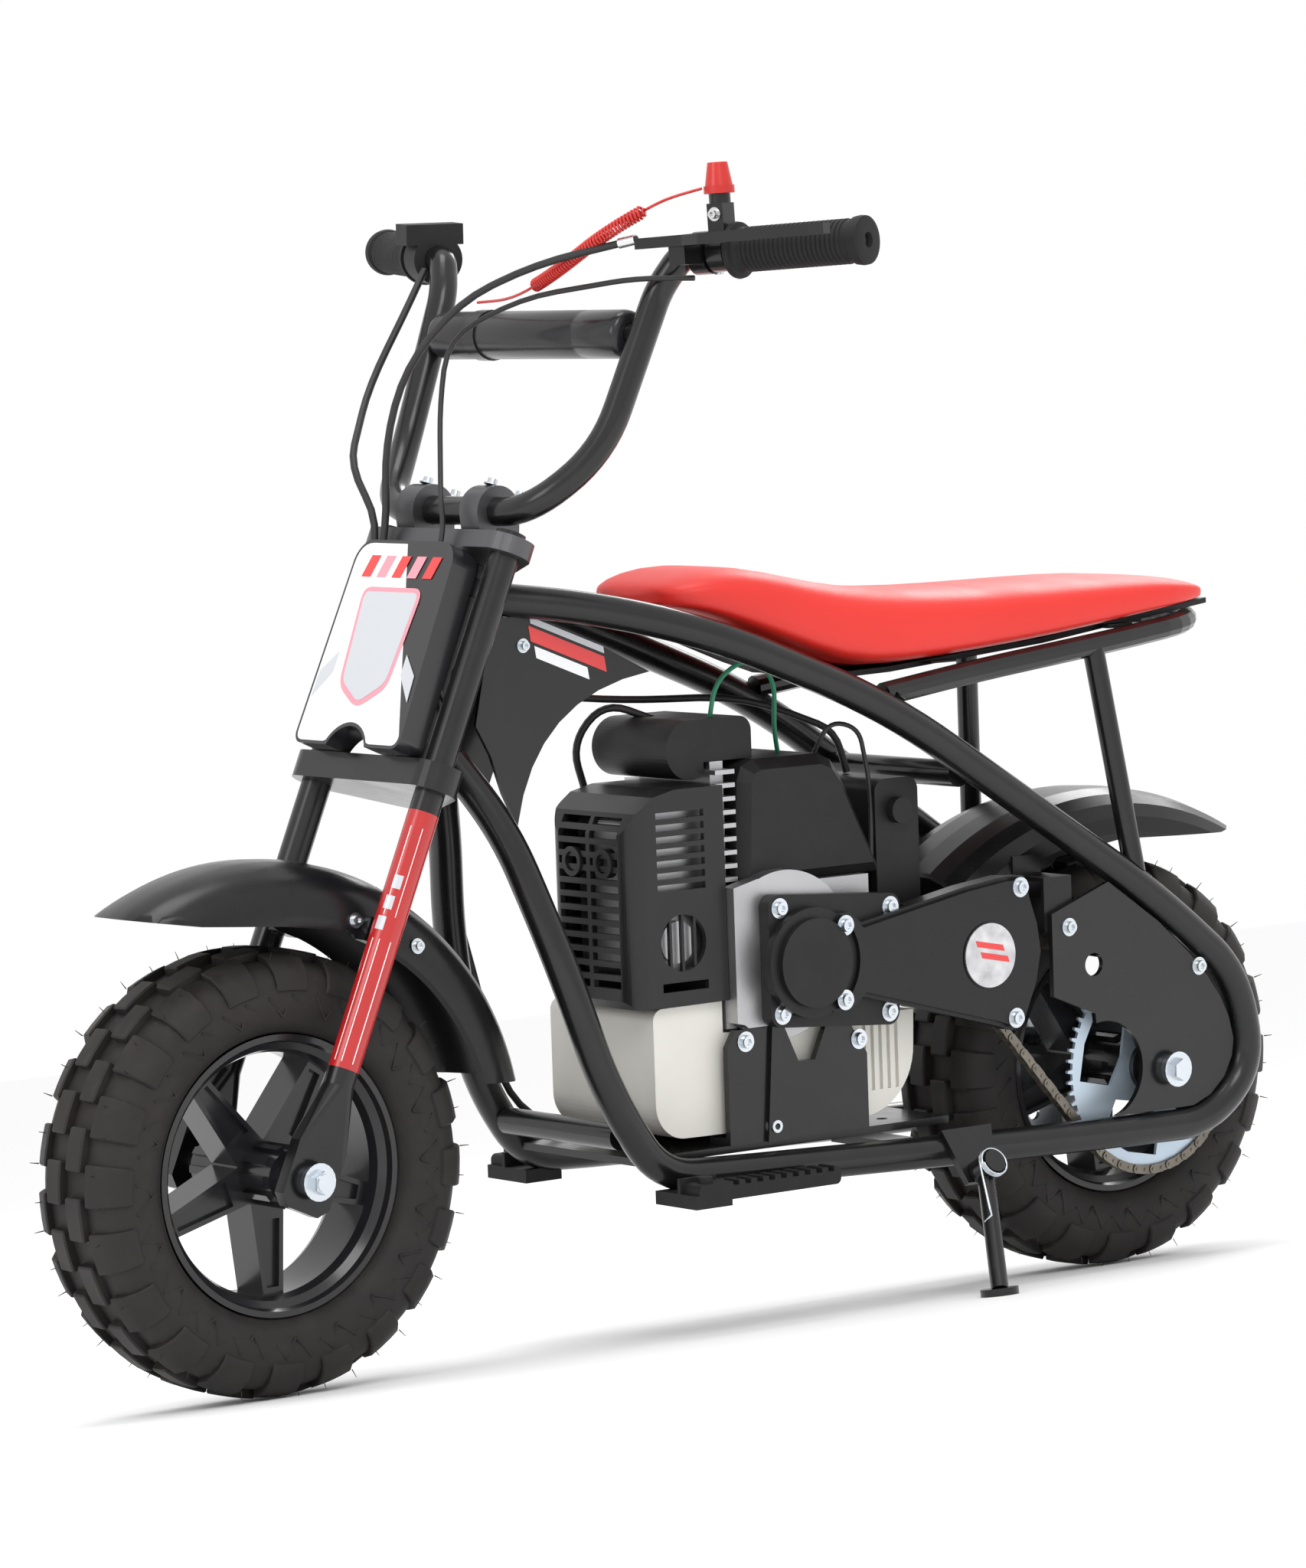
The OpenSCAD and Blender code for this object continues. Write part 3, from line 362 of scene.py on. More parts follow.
def tube(name, path, radius, look, body, replaces=(), sides=24):
    """A round bar along a path of bike points, with closed ends."""
    line = bpy.data.curves.new(name, 'CURVE')
    line.dimensions, line.bevel_depth = '3D', radius / 1000
    line.bevel_resolution, line.use_fill_caps = (sides - 4) // 2, True
    spline = line.splines.new('POLY')
    spline.points.add(len(path) - 1)
    for spot, place in zip(spline.points, path):
        spot.co = (*(PARK @ (Vector(place) / 1000)), 1)
    return settle(bpy.data.objects.new(name, line), look, body, replaces)


def cord(name, path, radius, look, body, replaces):
    """A cord along a path, drawn as a twelve-sided tube: its length is the path's own."""
    piece = tube(name, path, radius, look, body, replaces, sides=12)
    return piece


def slab(bm, outline, depth):
    """Raises a flat outline by a vector into a closed solid."""
    face = bm.faces.new([bm.verts.new(p) for p in outline])
    raised = bmesh.ops.extrude_face_region(bm, geom=[face])["geom"]
    verts = [g for g in raised if isinstance(g, bmesh.types.BMVert)]
    bmesh.ops.translate(bm, verts=verts, vec=Vector(depth))
    return list(face.verts) + verts


def panels(name, look, body, outlines, depth, steer=False):
    """Flat sheets of one look as one piece."""
    bm = bmesh.new()
    for outline in outlines:
        slab(bm, outline, depth)
    bmesh.ops.recalc_face_normals(bm, faces=bm.faces)
    return keep(name, bm, look, body, steer=steer, smooth=False)


# ---------------------------------------------------------------- tyres

# Blocks round a tyre, how much of a step each fills, and its worn edge
LUGS, LUG_SHARE, LUG_EDGE = 20, 0.62, 1.1
# Radius and distance from the middle, of the tyre's wall from bead to crown and of both kinds of block
CARCASS = ((91.4, 30), (94, 36), (100, 41), (110, 43.4), (120, 43.2), (128, 40.8), (134, 36), (137.5, 28), (138.6, 14))
MIDDLE_LUG = ((134, 3), (145, 3), (144.4, 19), (134, 19))
SHOULDER_LUG = ((133, 23), (143.4, 23), (140, 34), (132, 42), (124, 45), (119, 44.4), (119, 40), (130, 33))
WALL_Y, WALL_FOOT_Y = 43.4, 42.6
# Radius and share of a step, for the line on the wall
ZIGZAG, ZIGZAG_R = ((103, 0.0), (117, 0.3), (108, 0.55), (117, 0.8), (103, 1.0)), 0.9
# Share of a step and distance from the middle of the two moulding hairs in each step
HAIRS, HAIR_FOOT, HAIR_R, HAIR_TIP_R, HAIR_LENGTH = ((0.15, 30), (0.6, 36)), 139, 0.45, 0.2, 6


def tyre(name, hub, body):
    """Tyre with staggered middle and shoulder lugs, a zigzag line on each wall and thin moulding hairs."""
    bm = bmesh.new()
    ring = [bm.verts.new((r, y, 0)) for r, y in CARCASS] + [bm.verts.new((r, -y, 0)) for r, y in reversed(CARCASS)]
    edges = [bm.edges.new((a, b)) for a, b in zip(ring, ring[1:])]
    edges.append(bm.edges.new((ring[-1], ring[0])))
    bmesh.ops.spin(bm, geom=ring + edges, cent=(0, 0, 0), axis=(0, 1, 0), dvec=(0, 0, 0), angle=math.tau, steps=120,
                   use_merge=True)
    bmesh.ops.recalc_face_normals(bm, faces=bm.faces)
    step = math.tau / LUGS

    def lug(outline, start):
        """One block of tread: its outline of radius and distance out, turned through its share of a step."""
        face = bm.faces.new([bm.verts.new((r, y, 0)) for r, y in outline])
        made = bmesh.ops.spin(bm, geom=[face] + list(face.edges) + list(face.verts), cent=(0, 0, 0), axis=(0, 1, 0),
                              dvec=(0, 0, 0), angle=step * LUG_SHARE, steps=3)
        block = set(face.verts) | {g for g in made["geom_last"] if isinstance(g, bmesh.types.BMVert)}
        todo = list(block)
        while todo:
            for v in [v for edge in todo.pop().link_edges for v in edge.verts if v not in block]:
                block.add(v)
                todo.append(v)
        edges = {e for v in block for e in v.link_edges if e.calc_face_angle(0) > 0.5}
        out = bmesh.ops.bevel(bm, geom=list(edges), offset=LUG_EDGE, segments=1, affect='EDGES', profile=0.5,
                              material=-1)
        block = {v for v in block if v.is_valid} | set(out["verts"])
        bmesh.ops.rotate(bm, verts=list(block), cent=(0, 0, 0), matrix=Matrix.Rotation(step * start, 3, 'Y'))
        return list(block)

    def turned(r, y, share):
        spot = Vector((r, y, 0))
        spot.rotate(Matrix.Rotation(step * share, 3, 'Y'))
        return spot

    lugs = []
    for side in SIDES:
        middle, shoulder = (0.0, 0.5) if side > 0 else (0.5, 0.0)
        lugs += lug([(r, side * y) for r, y in MIDDLE_LUG], middle)
        lugs += lug([(r, side * y) for r, y in SHOULDER_LUG], shoulder)
        for (r0, share0), (r1, share1) in zip(ZIGZAG, ZIGZAG[1:]):
            here = turned(r0, side * WALL_FOOT_Y, share0)
            there = turned(r1, side * (WALL_FOOT_Y if r1 < 110 else WALL_Y), share1)
            lugs += disc(bm, here, there - here, ZIGZAG_R, (there - here).length, 5)
        for share, y in HAIRS:
            foot = turned(HAIR_FOOT, side * y, shoulder + share)
            lugs += disc(bm, foot, Vector((foot.x, side * 60, foot.z)), HAIR_R, HAIR_LENGTH, 4, HAIR_TIP_R)
    lugs = list(set(lugs))
    faces = list({f for v in lugs for f in v.link_faces})
    one_step = faces + list({e for f in faces for e in f.edges}) + lugs
    for k in range(1, LUGS):
        copy = bmesh.ops.duplicate(bm, geom=one_step)
        verts = [g for g in copy["geom"] if isinstance(g, bmesh.types.BMVert)]
        bmesh.ops.rotate(bm, verts=verts, cent=(0, 0, 0), matrix=Matrix.Rotation(step * k, 3, 'Y'))
    bmesh.ops.translate(bm, verts=bm.verts, vec=hub)
    return keep(name + "_tread", bm, "tyre_rubber", body, replaces=(name,), angle=32)


tyre("front_tyre", FRONT, "front_wheel")
tyre("rear_tyre", REAR, "rear_wheel")


# ---------------------------------------------------------------- side stand's spring

def stand_spring():
    """A coil round the hinge pin, its long end hooked over the stand's leg."""
    hinge, out_down, out_up = Vector((-520, 112, 98)), Vector((0, 0.505, -0.863)), Vector((0, 0.863, 0.505))
    turns, steps, coil_r, top, rise, wire_r = 3, 20, 9.7, 12.4, 1.55, 0.8

    def at(x, y, z):
        return hinge + Vector((x, 0, 0)) + out_down * y + out_up * z

    coil = [at(coil_r * math.cos(t), coil_r * math.sin(t), top - rise * t / math.tau)
            for t in (math.tau * k / steps for k in range(steps * turns + 1))]
    hook = [at(11, 8, 7.4), at(15, 30, 7.2), at(15.5, 36, 6.6), at(18.5, 38, 1)]
    tube("stand_spring", coil + hook, wire_r, "zinc", "side_stand", sides=8)


stand_spring()


# ---------------------------------------------------------------- seat

# x, lower z, upper z and half width, from nose to tail
SEAT_RINGS = ((-318, 490, 500, 34), (-326, 487, 505, 48), (-345, 482.5, 511, 58), (-371, 471.5, 514, 64),
              (-403, 459, 509, 68), (-449, 440.5, 498, 71), (-495, 437.6, 491, 72), (-570, 442.5, 487, 72),
              (-640, 448.2, 487, 72), (-709, 457, 487, 71), (-750, 461.8, 485, 67), (-776, 465.5, 480, 60),
              (-789, 467.2, 476, 48), (-792, 468.5, 473, 36))
# How square the cushion's sides, top and underside are: 1 is round
SIDE_POWER, TOP_POWER, UNDER_POWER = 0.55, 0.75, 0.35


def seat():
    """Rounded cushion, lofted from rings across the bike and closed at nose and tail."""
    bm = bmesh.new()
    loops = []
    for x, low, high, half in SEAT_RINGS:
        made = bmesh.ops.create_circle(bm, segments=40, radius=1)["verts"]
        for v in made:
            across, rise = v.co.x, v.co.y
            side = math.copysign(abs(across) ** SIDE_POWER, across) * half
            crown = math.copysign(abs(rise) ** (TOP_POWER if rise > 0 else UNDER_POWER), rise)
            v.co = Vector((x, side, (low + high) / 2 + crown * (high - low) / 2))
        loops.append(made)
    edges = list(bm.edges)
    for a, b in zip(loops, loops[1:]):
        pair = [e for e in edges if e.verts[0] in set(a) | set(b) and e.verts[1] in set(a) | set(b)]
        bmesh.ops.bridge_loops(bm, edges=pair)
    bmesh.ops.contextual_create(bm, geom=loops[0])
    bmesh.ops.contextual_create(bm, geom=loops[-1])
    bmesh.ops.recalc_face_normals(bm, faces=bm.faces)
    piece = keep("seat_cover", bm, "seat_vinyl", "frame", replaces=("seat_cushion",), angle=60)
    soften = piece.modifiers.new("soft_edges", 'SUBSURF')
    soften.levels = soften.render_levels = 1


seat()


# ---------------------------------------------------------------- tubes, grips and crossbar pad

# Left half of the frame's loop from the head tube's top to its foot, and the reach of each bend
LOOP = [(-196, 17, 503), (-262, 44, 492), (-340, 68, 470), (-478, 74, 414), (-700, 88, 266), (-772, 90, 206),
        (-784, 90, 140), (-742, 90, 104), (-600, 85, 106), (-330, 75, 114), (-272, 75, 117), (-232, 74, 176),
        (-206, 62, 266), (-186, 34, 350), (-168, 14, 398)]
LOOP_BEND = [0, 40, 60, 60, 60, 40, 36, 34, 60, 60, 34, 34, 60, 60, 0]
# Handlebar from its middle to its left end, and its crossbar
BAR = [(-181, 0, 560), (-181, 78, 560), (-219, 110, 597), (-262, 119, 700), tuple(BAR_ELBOW), tuple(BAR_END)]
BAR_BEND = [0, 28, 30, 11, 9, 0]
CROSSBAR, CROSSBAR_HALF = Vector((-250.3, 0, 672)), 114
LOOP_TUBE_R, BAR_R, CROSSBAR_R = 11, 9.5, 7

for side, name in ((1, "left"), (-1, "right")):
    loop = [(x, side * y, z) for x, y, z in [(-187, 11, 503)] + LOOP[1:-1] + [(-163, 8, 398)]]
    tube("loop_tube_" + name, route(loop, LOOP_BEND, 8), LOOP_TUBE_R, "frame_paint", "frame",
         replaces=("frame_loop_" + name,))
tube("bar_tube", mirrored(route(BAR, BAR_BEND, 8)), BAR_R, "frame_paint", "fork", replaces=("handlebar",))
tube("bar_brace", [CROSSBAR + Vector((0, y, 0)) for y in (-CROSSBAR_HALF, CROSSBAR_HALF)], CROSSBAR_R, "frame_paint",
     "fork")


def lathe(name, look, body, profile, place, sides=48, replaces=(), angle=35):
    """Turns a profile of radius and height round local Z, then stands it where it belongs."""
    bm = bmesh.new()
    ring = [bm.verts.new((r, 0, h)) for r, h in profile]
    edges = [bm.edges.new(pair) for pair in zip(ring, ring[1:])]
    bmesh.ops.spin(bm, geom=ring + edges, cent=(0, 0, 0), axis=(0, 0, 1), dvec=(0, 0, 0), angle=math.tau,
                   steps=sides, use_merge=True)
    bmesh.ops.remove_doubles(bm, verts=bm.verts, dist=0.001)
    bmesh.ops.recalc_face_normals(bm, faces=bm.faces)
    bmesh.ops.transform(bm, matrix=place, verts=bm.verts)
    return keep(name, bm, look, body, replaces=replaces, angle=angle)


# Where a grip starts on the bar's end and the share of it that the grip covers
GRIP_START, GRIP_SHARE, GRIP_RIBS = 0.3, 0.72, 22


def grips():
    """Ribbed rubber sleeves with a collar at the elbow's side and a rounded rim at the end."""
    for side, name in ((1, "left"), (-1, "right")):
        elbow, end = (Vector((p.x, side * p.y, p.z)) for p in (BAR_ELBOW, BAR_END))
        reach = (end - elbow).length * GRIP_SHARE
        profile = [(9.6, 0), (18, 0), (18.5, 1.5), (18, 4), (15, 5), (14, 7)]
        for k in range(GRIP_RIBS):
            z = 9 + k * (reach - 22) / GRIP_RIBS
            profile += [(13.6, z), (14.6, z + 0.7), (14.6, z + 2.2), (13.6, z + 2.9)]
        profile += [(13.6, reach - 9), (15.4, reach - 8), (16, reach - 4), (15.6, reach - 1), (13.5, reach), (5, reach),
                    (4.2, reach - 3), (0, reach - 3)]
        lathe("ribbed_grip_" + name, "black_rubber", "fork", profile, along(elbow.lerp(end, GRIP_START), end),
              replaces=("grip_" + name,))


def pad():
    """Foam roll round the crossbar, pinched in two places and closed at both ends."""
    half = [(16, 56), (15.6, 58), (16, 60), (16, 98), (15.2, 102), (13, 104), (7.2, 104)]
    profile = [(r, -h) for r, h in reversed(half)] + half
    roll = lathe("crossbar_pad", "foam_vinyl", "fork", profile, along(CROSSBAR, CROSSBAR + Vector((0, 1, 0))),
                 replaces=("bar_pad",), angle=50)


grips()
pad()


# ---------------------------------------------------------------- cables, wires and the coiled tether

BRAKE = [(-239, 128, 733), (-207, 60, 719), (-189, 0, 696), (-165, -30, 654), (-157, -45, 604), (-154, -42, 549),
         up_stem(46, -36, 372), up_stem(22, -30, 340), up_stem(2, -25, 312)]
THROTTLE = [(-262, -140, 716), (-240, -132, 690), (-204, -128, 640), (-151, -78, 590), (-154.5, -50, 552),
            up_stem(46, -47, 372), up_stem(28, -40, 332), up_stem(5, -30, 321)]
STOP_WIRE = [(-266, 152, 707), (-242, 120, 708), (-216, 30, 697), (-196, -24, 672), (-176, -8, 630), (-154, 20, 570),
             (-154, 22, 552), up_stem(46, 30, 372), up_stem(26, 26, 330), up_stem(4, 26, 312)]
REAR_BRAKE = [up_stem(0, -26, 305), (-176, -46, 372), (-216, -66, 290), (-256, -72, 160), (-300, -76, 130.4),
              (-560, -82, 123), (-640, -76, 136), (-676, -70, 176.1)]
TO_ENGINE = [up_stem(-2, -27, 336), (-205, -27, 428), (-262, -27, 432), (-330, -24, 424), (-430, -20, 420),
             (-500, -10, 392), (-506, -6, 362.9)]
TETHER = [(-271.5, 155.5, 764), (-248, 146, 758), (-228, 110, 738), (-222, 60, 712), (-232, 0, 696), (-243, -54, 694)]
CABLE_R, WIRE_R, TETHER_R, LEAD_R, PLUG_LEAD_R = 2.5, 1.8, 0.95, 1.6, 2.6

cord("brake_cable_bar", route(BRAKE, 40, 4), CABLE_R, "cable_rubber", "fork", ("brake_cable",))
cord("throttle_cable_bar", route(THROTTLE, 40, 4), CABLE_R, "cable_rubber", "fork", ("throttle_cable",))
cord("stop_wire_bar", route(STOP_WIRE, 40, 4), WIRE_R, "cable_rubber", "fork", ("kill_wire",))
cord("brake_cable_frame", route(REAR_BRAKE, 40, 4), CABLE_R, "cable_rubber", "frame", ("cable_run",))
cord("throttle_cable_frame", route(TO_ENGINE, 40, 4), CABLE_R, "cable_rubber", "frame", ("cable_run",))


# Straight lead before and after the coil, its turns and radius, and the steps of one turn
COIL_START, COIL_TAIL, COIL_TURNS, COIL_R, TURN_STEPS = 40.0, 88.0, 44, 3.8, 14


def tether_coil():
    """The stop switch's springy lead: straight at both ends and tightly coiled between."""
    line = route(TETHER, 30, 8)
    lengths = [0.0]
    for a, b in zip(line, line[1:]):
        lengths.append(lengths[-1] + (b - a).length)
    start, stop = COIL_START, lengths[-1] - COIL_TAIL

    def at(run):
        """Point of the line after a run along it, and the line's direction there."""
        i = max(k for k, value in enumerate(lengths[:-1]) if value <= run + 1e-9)
        share = (run - lengths[i]) / (lengths[i + 1] - lengths[i])
        return line[i].lerp(line[i + 1], share), (line[i + 1] - line[i]).normalized()

    path = [at(start * k / 8)[0] for k in range(8)]
    count = COIL_TURNS * TURN_STEPS
    for k in range(count + 1):
        spot, ahead = at(start + (stop - start) * k / count)
        aside = ahead.cross(Vector((0, 0, 1))).normalized()
        around = math.tau * k / TURN_STEPS
        swell = min(1.0, k / TURN_STEPS, (count - k) / TURN_STEPS)
        path.append(spot + (aside * math.cos(around) + aside.cross(ahead) * math.sin(around)) * COIL_R * swell)
    path += [at(stop + (lengths[-1] - stop) * k / 8)[0] for k in range(1, 9)]
    cord("stop_tether", path, TETHER_R, "red_plastic", "fork", ("kill_tether",))


tether_coil()
# The tether's strap round the crossbar pad, and the engine's three leads
tube("tether_strap", [CROSSBAR + Vector((0, y, 0)) for y in (-60, -48)], 17, "foam_vinyl", "fork")
tube("earth_wire", route([(-358, 30, 400), (-362, 36, 438), (-388, 40, 452), (-414, 34, 436), (-420, 24, 400),
                          (-424, 22, 384)], 22, 6), LEAD_R, "green_wire", "frame", sides=12)
tube("plug_lead", route([(-346, -10, 410), (-318, -30, 424), (-300, -44, 396), (-322, -50, 340), (-352, -46, 322)],
                        24, 6), PLUG_LEAD_R, "cable_rubber", "frame", sides=12)
tube("coil_wire", route([(-446, 30, 378), (-452, 44, 404), (-474, 48, 398), (-486, 44, 356), (-478, 52, 310)], 18, 6),
     LEAD_R, "cable_rubber", "frame", sides=12)


# ---------------------------------------------------------------- chain

DRIVE, CHAIN_Y = Vector((-552, 0, 236)), 67
# Where the pins run on both sprockets, the sprockets' teeth, and the links of the chain's two free runs
RING_R, DRIVE_R, RING_TEETH, DRIVE_TEETH, LOWER_LINKS, UPPER_LINKS = 72.57, 16.93, 60, 14, 24, 23
PLATE_R, PLATE_THICK, INNER_Y, OUTER_Y = 3.25, 0.75, 2.5, 3.4
ROLLER_R, ROLLER_HALF, PIN_R, PIN_HALF = 2.4, 2.1, 1.2, 4.3


def chain():
    """Roller chain: inner and outer links in turn, seated in the gaps of both sprockets."""
    def on(centre, r, degrees):
        a = math.radians(degrees)
        return Vector((centre.x + r * math.cos(a), CHAIN_Y, centre.z + r * math.sin(a)))

    pins = [on(REAR, RING_R, 360 / RING_TEETH * k) for k in range(18, 53)]
    front = [on(DRIVE, DRIVE_R, 360 / DRIVE_TEETH * k) for k in range(-1, 5)]
    pins += [pins[-1].lerp(front[0], k / LOWER_LINKS) for k in range(1, LOWER_LINKS)] + front
    pins += [front[-1].lerp(pins[0], k / UPPER_LINKS) for k in range(1, UPPER_LINKS)]
    bm = bmesh.new()
    for k, here in enumerate(pins):
        there = pins[(k + 1) % len(pins)]
        ahead = (there - here).normalized()
        turn = Matrix((ahead, Vector((0, 1, 0)).cross(ahead), Vector((0, 1, 0)))).transposed().to_4x4()
        inner, reach = k % 2, (there - here).length
        for side in (-1, 1):
            plate = bmesh.ops.create_circle(bm, cap_ends=True, segments=12, radius=PLATE_R,
                                            matrix=Matrix.Rotation(math.radians(15), 4, 'Z'))["verts"]
            for v in plate:
                v.co.x += reach if v.co.x > 0 else 0
            face = list({f for v in plate for f in v.link_faces})
            raised = bmesh.ops.extrude_face_region(bm, geom=face)["geom"]
            raised = [g for g in raised if isinstance(g, bmesh.types.BMVert)]
            bmesh.ops.translate(bm, verts=raised, vec=(0, 0, PLATE_THICK))
            level = side * (INNER_Y if inner else OUTER_Y) - PLATE_THICK / 2
            bmesh.ops.transform(bm, verts=plate + raised,
                                matrix=Matrix.Translation(here + Vector((0, level, 0))) @ turn)
        for pin in (here, there) if inner else ():
            disc(bm, pin - Vector((0, ROLLER_HALF, 0)), (0, 1, 0), ROLLER_R, ROLLER_HALF * 2, 10)
        disc(bm, here - Vector((0, PIN_HALF, 0)), (0, 1, 0), PIN_R, PIN_HALF * 2, 8)
    bmesh.ops.recalc_face_normals(bm, faces=bm.faces)
    keep("roller_chain", bm, "dark_steel", "frame", replaces=("chain",), angle=30)


chain()


# ---------------------------------------------------------------- plate, stripes, fork sleeves and badge, all generic

PLATE_X, PRINT_THICK, PRINT_LIFT = 56, 0.3, 0.38
NOTCH_R, NOTCH_Z = 26.5, 258


def stripe(foot, run, rise, length, width, slant=0.35):
    """Corners of a slanted bar that starts at a foot and runs along one direction."""
    foot, run, rise = Vector(foot), Vector(run), Vector(rise)
    return [foot, foot + run * length, foot + run * (length + slant * width) + rise * width,
            foot + run * slant * width + rise * width]


def plate_print(name, look, outlines, level=PLATE_X + PRINT_LIFT, thick=PRINT_THICK):
    """Thin prints on the number plate, drawn as (y, z) along the stem."""
    panels(name, look, "fork", [[(level, y, z) for y, z in outline] for outline in outlines], (thick, 0, 0),
           steer=True)


def number_plate():
    """White field with a round notch below, a shield outline, slanted bars above it and a wing on each side."""
    def rounded(corners, bend, steps=6, closed=False):
        return [(p.y, p.z) for p in route([(0, y, z) for y, z in corners], bend, steps, closed)]

    def shield(grow):
        corners = [(-30 - grow, 374 + grow), (-24 - grow, 312 - grow), (0, 298 - grow * 1.4), (24 + grow, 312 - grow),
                   (30 + grow, 374 + grow)]
        return rounded(corners, 6 + grow, 5, closed=True)

    notch = [(NOTCH_R * math.cos(math.radians(a)), NOTCH_Z + NOTCH_R * math.sin(math.radians(a)))
             for a in range(150, 20, -10)]
    field = rounded([(0, 407.5), (-52, 407.5), (-56.5, 270.5), (-26, 270.5)], [0, 15, 7, 0]) + notch \
        + rounded([(26, 270.5), (56.5, 270.5), (52, 407.5)], [0, 7, 15])[:-1]
    plate_print("plate_field", "white_print", [field], PLATE_X, 0.4)
    plate_print("plate_outline", "pink_print", [shield(3.2)])
    plate_print("plate_core", "grey_print", [shield(0)], PLATE_X + 0.66)
    bars = [[(p.y, p.z) for p in stripe((0, -40 + 17 * k, 384), (0, 1, 0), (0, 0, 1), 10, 15)] for k in range(5)]
    plate_print("plate_bars_red", "red_print", bars[::2])
    plate_print("plate_bars_pink", "pink_print", bars[1::2])
    plate_print("plate_wings", "grey_print", [[(s * 54, 300), (s * 38, 318), (s * 38, 332), (s * 53, 318)]
                                              for s in (-1, 1)])


# Look, then distance up the panel, width, start and length along it
GUSSET_BARS = (("white_print", 0, 7, 22, 46), ("red_print", 9, 9, 10, 66), ("grey_print", 20, 4, 16, 64))


def gusset_stripes():
    """Three plain bars on the outside of each gusset panel."""
    ahead, up = Vector((0.93, 0, 0.37)), Vector((-0.37, 0, 0.93))
    for side, name in ((1, "left"), (-1, "right")):
        for look, rise, width, start, length in GUSSET_BARS:
            foot = Vector((-288, side * 22, 436)) + up * rise + ahead * start
            panels("gusset_%s_%s" % (look, name), look, "frame", [stripe(foot, ahead, up, length, width, 0.6)],
                   (0, side * 0.35, 0))


def wrap(bm, r, low, high, start, stop, thick=0.25):
    """A thin sheet bent round a tube: from one angle to another, closed on all sides."""
    corners = [(r, low), (r + thick, low), (r + thick, high), (r, high)]
    face = bm.faces.new([bm.verts.new((q, 0, h)) for q, h in corners])
    old = set(bm.verts) - set(face.verts)
    bmesh.ops.spin(bm, geom=[face] + list(face.edges) + list(face.verts), cent=(0, 0, 0), axis=(0, 0, 1),
                   dvec=(0, 0, 0), angle=math.radians(stop - start), steps=max(2, round(abs(stop - start) / 8)))
    new = [v for v in bm.verts if v not in old]
    bmesh.ops.rotate(bm, verts=new, cent=(0, 0, 0), matrix=Matrix.Rotation(math.radians(start), 3, 'Z'))


SLEEVE_R, LINE_R, LEG_Y = 10.03, 10.26, 64
AXLE_DROP = FORK_OFFSET * math.tan(RAKE)


def fork_sleeves():
    """Red sheet stuck round the outside of each leg, with thin pale lines down it and plain bars."""
    for side, name, start, stop in ((1, "left", -24, 190), (-1, "right", 170, 302)):
        leg = Matrix.Translation((FORK_OFFSET, side * LEG_Y, -AXLE_DROP))
        # Each sheet: lower and upper height on the leg, then its angles round it
        lines = [(78, 160, start + a, start + a + 3) for a in (34, 62, 104)] \
            + [(176, 236, start + a, start + a + 2.5) for a in (48, 92)]
        bars = [(low, low + 9, start + 30 + k * 8, start + 64 + k * 8) for k, low in enumerate((166, 180, 194))]
        rows = (("red_sleeve", SLEEVE_R, [(74, 247, start, stop)]), ("white_print", LINE_R, lines),
                ("grey_print", LINE_R, bars))
        for look, r, sheets in rows:
            bm = bmesh.new()
            for low, high, a, b in sheets:
                wrap(bm, r, low, high, a, b)
            bmesh.ops.recalc_face_normals(bm, faces=bm.faces)
            bmesh.ops.transform(bm, matrix=leg, verts=bm.verts)
            keep("fork_%s_%s" % (look, name), bm, look, "fork", steer=True, angle=30)


def badge():
    """Marbled disc with two slanted bars on the drive cover."""
    spot = along((-548, 90.7, 239), (-548, 91.7, 239))
    lathe("cover_badge", "marbled", "frame", [(0, 0), (22, 0), (22, 0.8), (21.2, 1.2), (0, 1.2)], spot)
    bars = [stripe((-564 + 4 * k, 91.85, 233 + 8 * k), (1, 0, 0.2), (0, 0, 1), 24, 4) for k in range(2)]
    panels("badge_bars", "red_print", "frame", bars, (0, 0.3, 0))


number_plate()
gusset_stripes()
fork_sleeves()
badge()


# ---------------------------------------------------------------- bolts, nuts and small fittings

def fasteners(name, body, rows, look="zinc", steer=False, **shape):
    """A set of bolts as one piece. Each row says where a bolt sits, its direction and its radius."""
    bm = bmesh.new()
    for at, toward, r in rows:
        bolt(bm, at, toward, r, **shape)
    return keep(name, bm, look, body, steer=steer)


def on_left(y, r, spots):
    """Rows of bolts that face left at one distance from the middle."""
    return [((x, y, z), (0, 1, 0), r) for x, z in spots]


COVER_R, NUT_R, CLAMP_R, SMALL_R = 4.6, 8.2, 3.4, 3.2
fasteners("cover_bolts", "frame", on_left(90, COVER_R, ((-577, 283), (-570, 194), (-423, 271), (-421, 221))))
fasteners("flange_bolts", "frame", on_left(80, COVER_R, ((-375, 286), (-470, 279), (-467, 208), (-375, 215))))
fasteners("bracket_bolts", "frame", on_left(67, COVER_R, ((-353, 198), (-450, 190), (-375, 139))))
fasteners("front_axle_nuts", "fork", [((0, s * 76, TYRE_R), (0, s, 0), NUT_R) for s in SIDES], proud=6, socket=False)
fasteners("rear_axle_nuts", "frame", [((-WHEELBASE, s * 99, TYRE_R), (0, s, 0), NUT_R) for s in SIDES], proud=5,
          socket=False)
fasteners("bar_clamp_bolts", "fork", [((x, s * 36, 458), (0, 0, 1), CLAMP_R) for s in SIDES for x in (8, 32)],
          steer=True)


# ---------------------------------------------------------------- front fender and its fixing

TAB_Y, TAB_LENGTH = 43.6, 11


def is_strap(spot):
    """Whether a place along the stem belongs to the solid's straps, which run up to the clamp."""
    return 9.5 < spot.x < 13.5 and 11.5 < abs(spot.y) < 28.5 and spot.z > 185


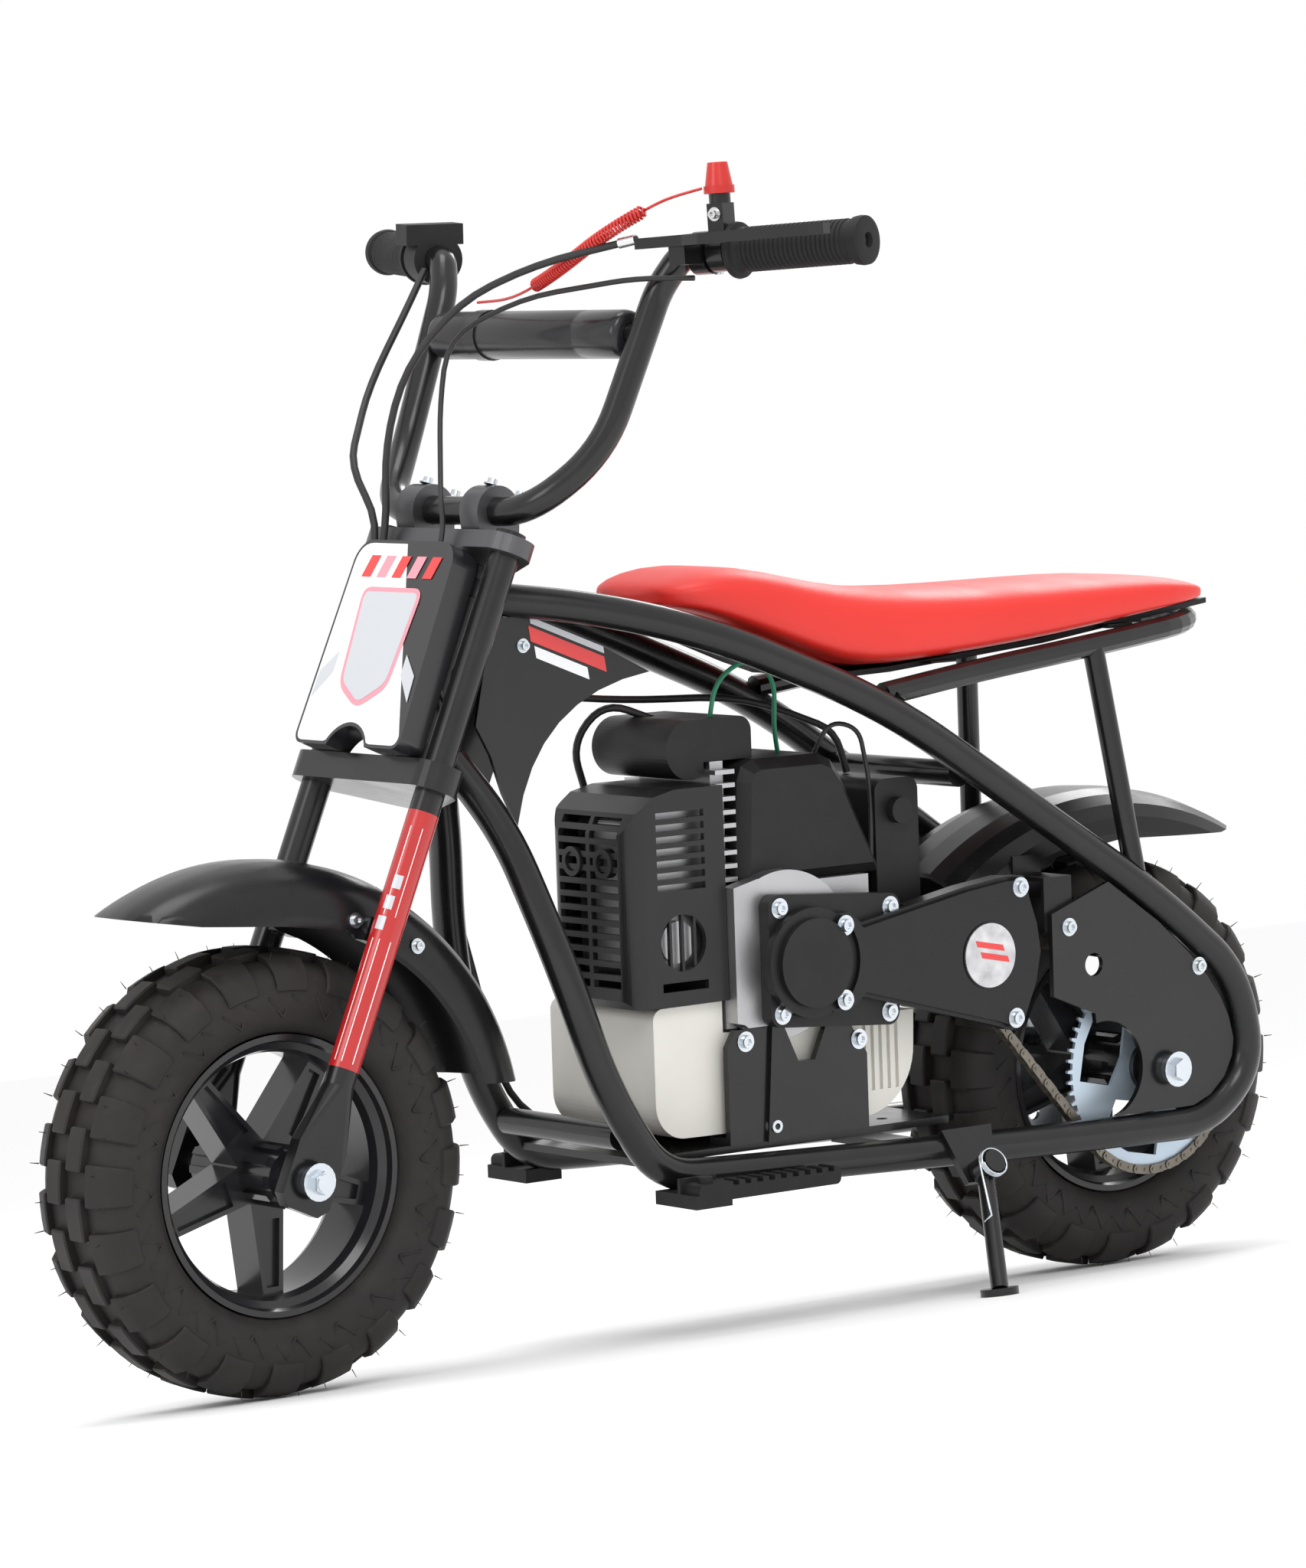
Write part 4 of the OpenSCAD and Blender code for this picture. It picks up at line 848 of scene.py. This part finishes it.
def front_fender():
    """The solid's own shell, smooth and without its front straps, which the photograph doesn't show."""
    bm = bmesh.new()
    bm.from_mesh(bpy.data.objects["front_fender"].data)
    bmesh.ops.remove_doubles(bm, verts=bm.verts, dist=0.00002)
    bmesh.ops.transform(bm, matrix=(PARK @ TO_METRES @ STEM).inverted(), verts=bm.verts)
    straps = [f for f in bm.faces if all(is_strap(v.co) for v in f.verts)]
    bmesh.ops.delete(bm, geom=straps, context='FACES')
    bmesh.ops.holes_fill(bm, edges=[e for e in bm.edges if e.is_boundary], sides=0)
    bmesh.ops.recalc_face_normals(bm, faces=bm.faces)
    keep("fender_shell", bm, "fender_plastic", "fork", steer=True, replaces=("front_fender",), angle=32)
    bm = bmesh.new()
    for side in SIDES:
        tab = [(x, side * TAB_Y, z - AXLE_DROP) for x, z in ((17, 158), (33, 158), (33, 174), (17, 174))]
        slab(bm, tab, (0, side * TAB_LENGTH, 0))
    bmesh.ops.recalc_face_normals(bm, faces=bm.faces)
    keep("fender_tabs", bm, "fender_plastic", "fork", steer=True, smooth=False)


front_fender()
fasteners("fender_bolts", "fork", [((12 + 26 * k, side * 45.5, 158), (0, side, 0.1), CLAMP_R) for side in SIDES
                                   for k in SIDES], steer=True)
fasteners("clamp_caps", "fork", [((37, side * 36 + k, 441), (1, 0, 0), SMALL_R) for side in SIDES for k in (-5, 5)],
          steer=True)
fasteners("dropout_bolts", "frame", on_left(92, 4.2, ((-618, 252), (-736, 214))))
fasteners("gusset_bolts", "frame", [((-214, side * 22, 470), (0, side, 0), SMALL_R) for side in SIDES])


def control_screws():
    """Bright screws of the stop switch and the lever's clamp, and the barrel where the cable enters the lever."""
    out = (BAR_END - BAR_ELBOW).normalized()
    up = Vector((0.0145, -0.041, 0.999))
    ahead = up.cross(out)
    switch = BAR_ELBOW.lerp(BAR_END, 0.185) + out * 6 + up * 24
    fasteners("switch_screw", "fork", [(switch + ahead * 7 * side, ahead * side, 3.0) for side in SIDES],
              look="bright_steel")
    clamp = BAR_ELBOW.lerp(BAR_END, 0.085) + out * 4
    fasteners("lever_screw", "fork", [(clamp - up * 10 + ahead * 18, -up, SMALL_R)], look="bright_steel")
    entry, beyond = Vector(BRAKE[0]), Vector(BRAKE[1])
    path = [entry - (entry - beyond).normalized() * run for run in (1, 13)]
    tube("cable_barrel", path, 3.6, "bright_steel", "fork", sides=16)


control_screws()


# ---------------------------------------------------------------- finishes on the CAD pieces

SPECIAL = {"rear_sprocket": "blued_zinc", "brake_disc": "zinc", "upper_clamp": "dark_clamp"}
redrawn = {"front_tyre", "rear_tyre", "seat_cushion"}  # these solids have a mesh of their own above
slots = {part["node"]: part["material_slot"] for part in frame["record"]["subparts"]}
for node in frame["nodes"]:
    if node in redrawn:
        continue
    part = bpy.data.objects[node]
    look = FINISH[SPECIAL.get(node, slots[node])]
    if part.material_slots:
        for place in part.material_slots:
            place.material = look
    else:
        part.data.materials.append(look)
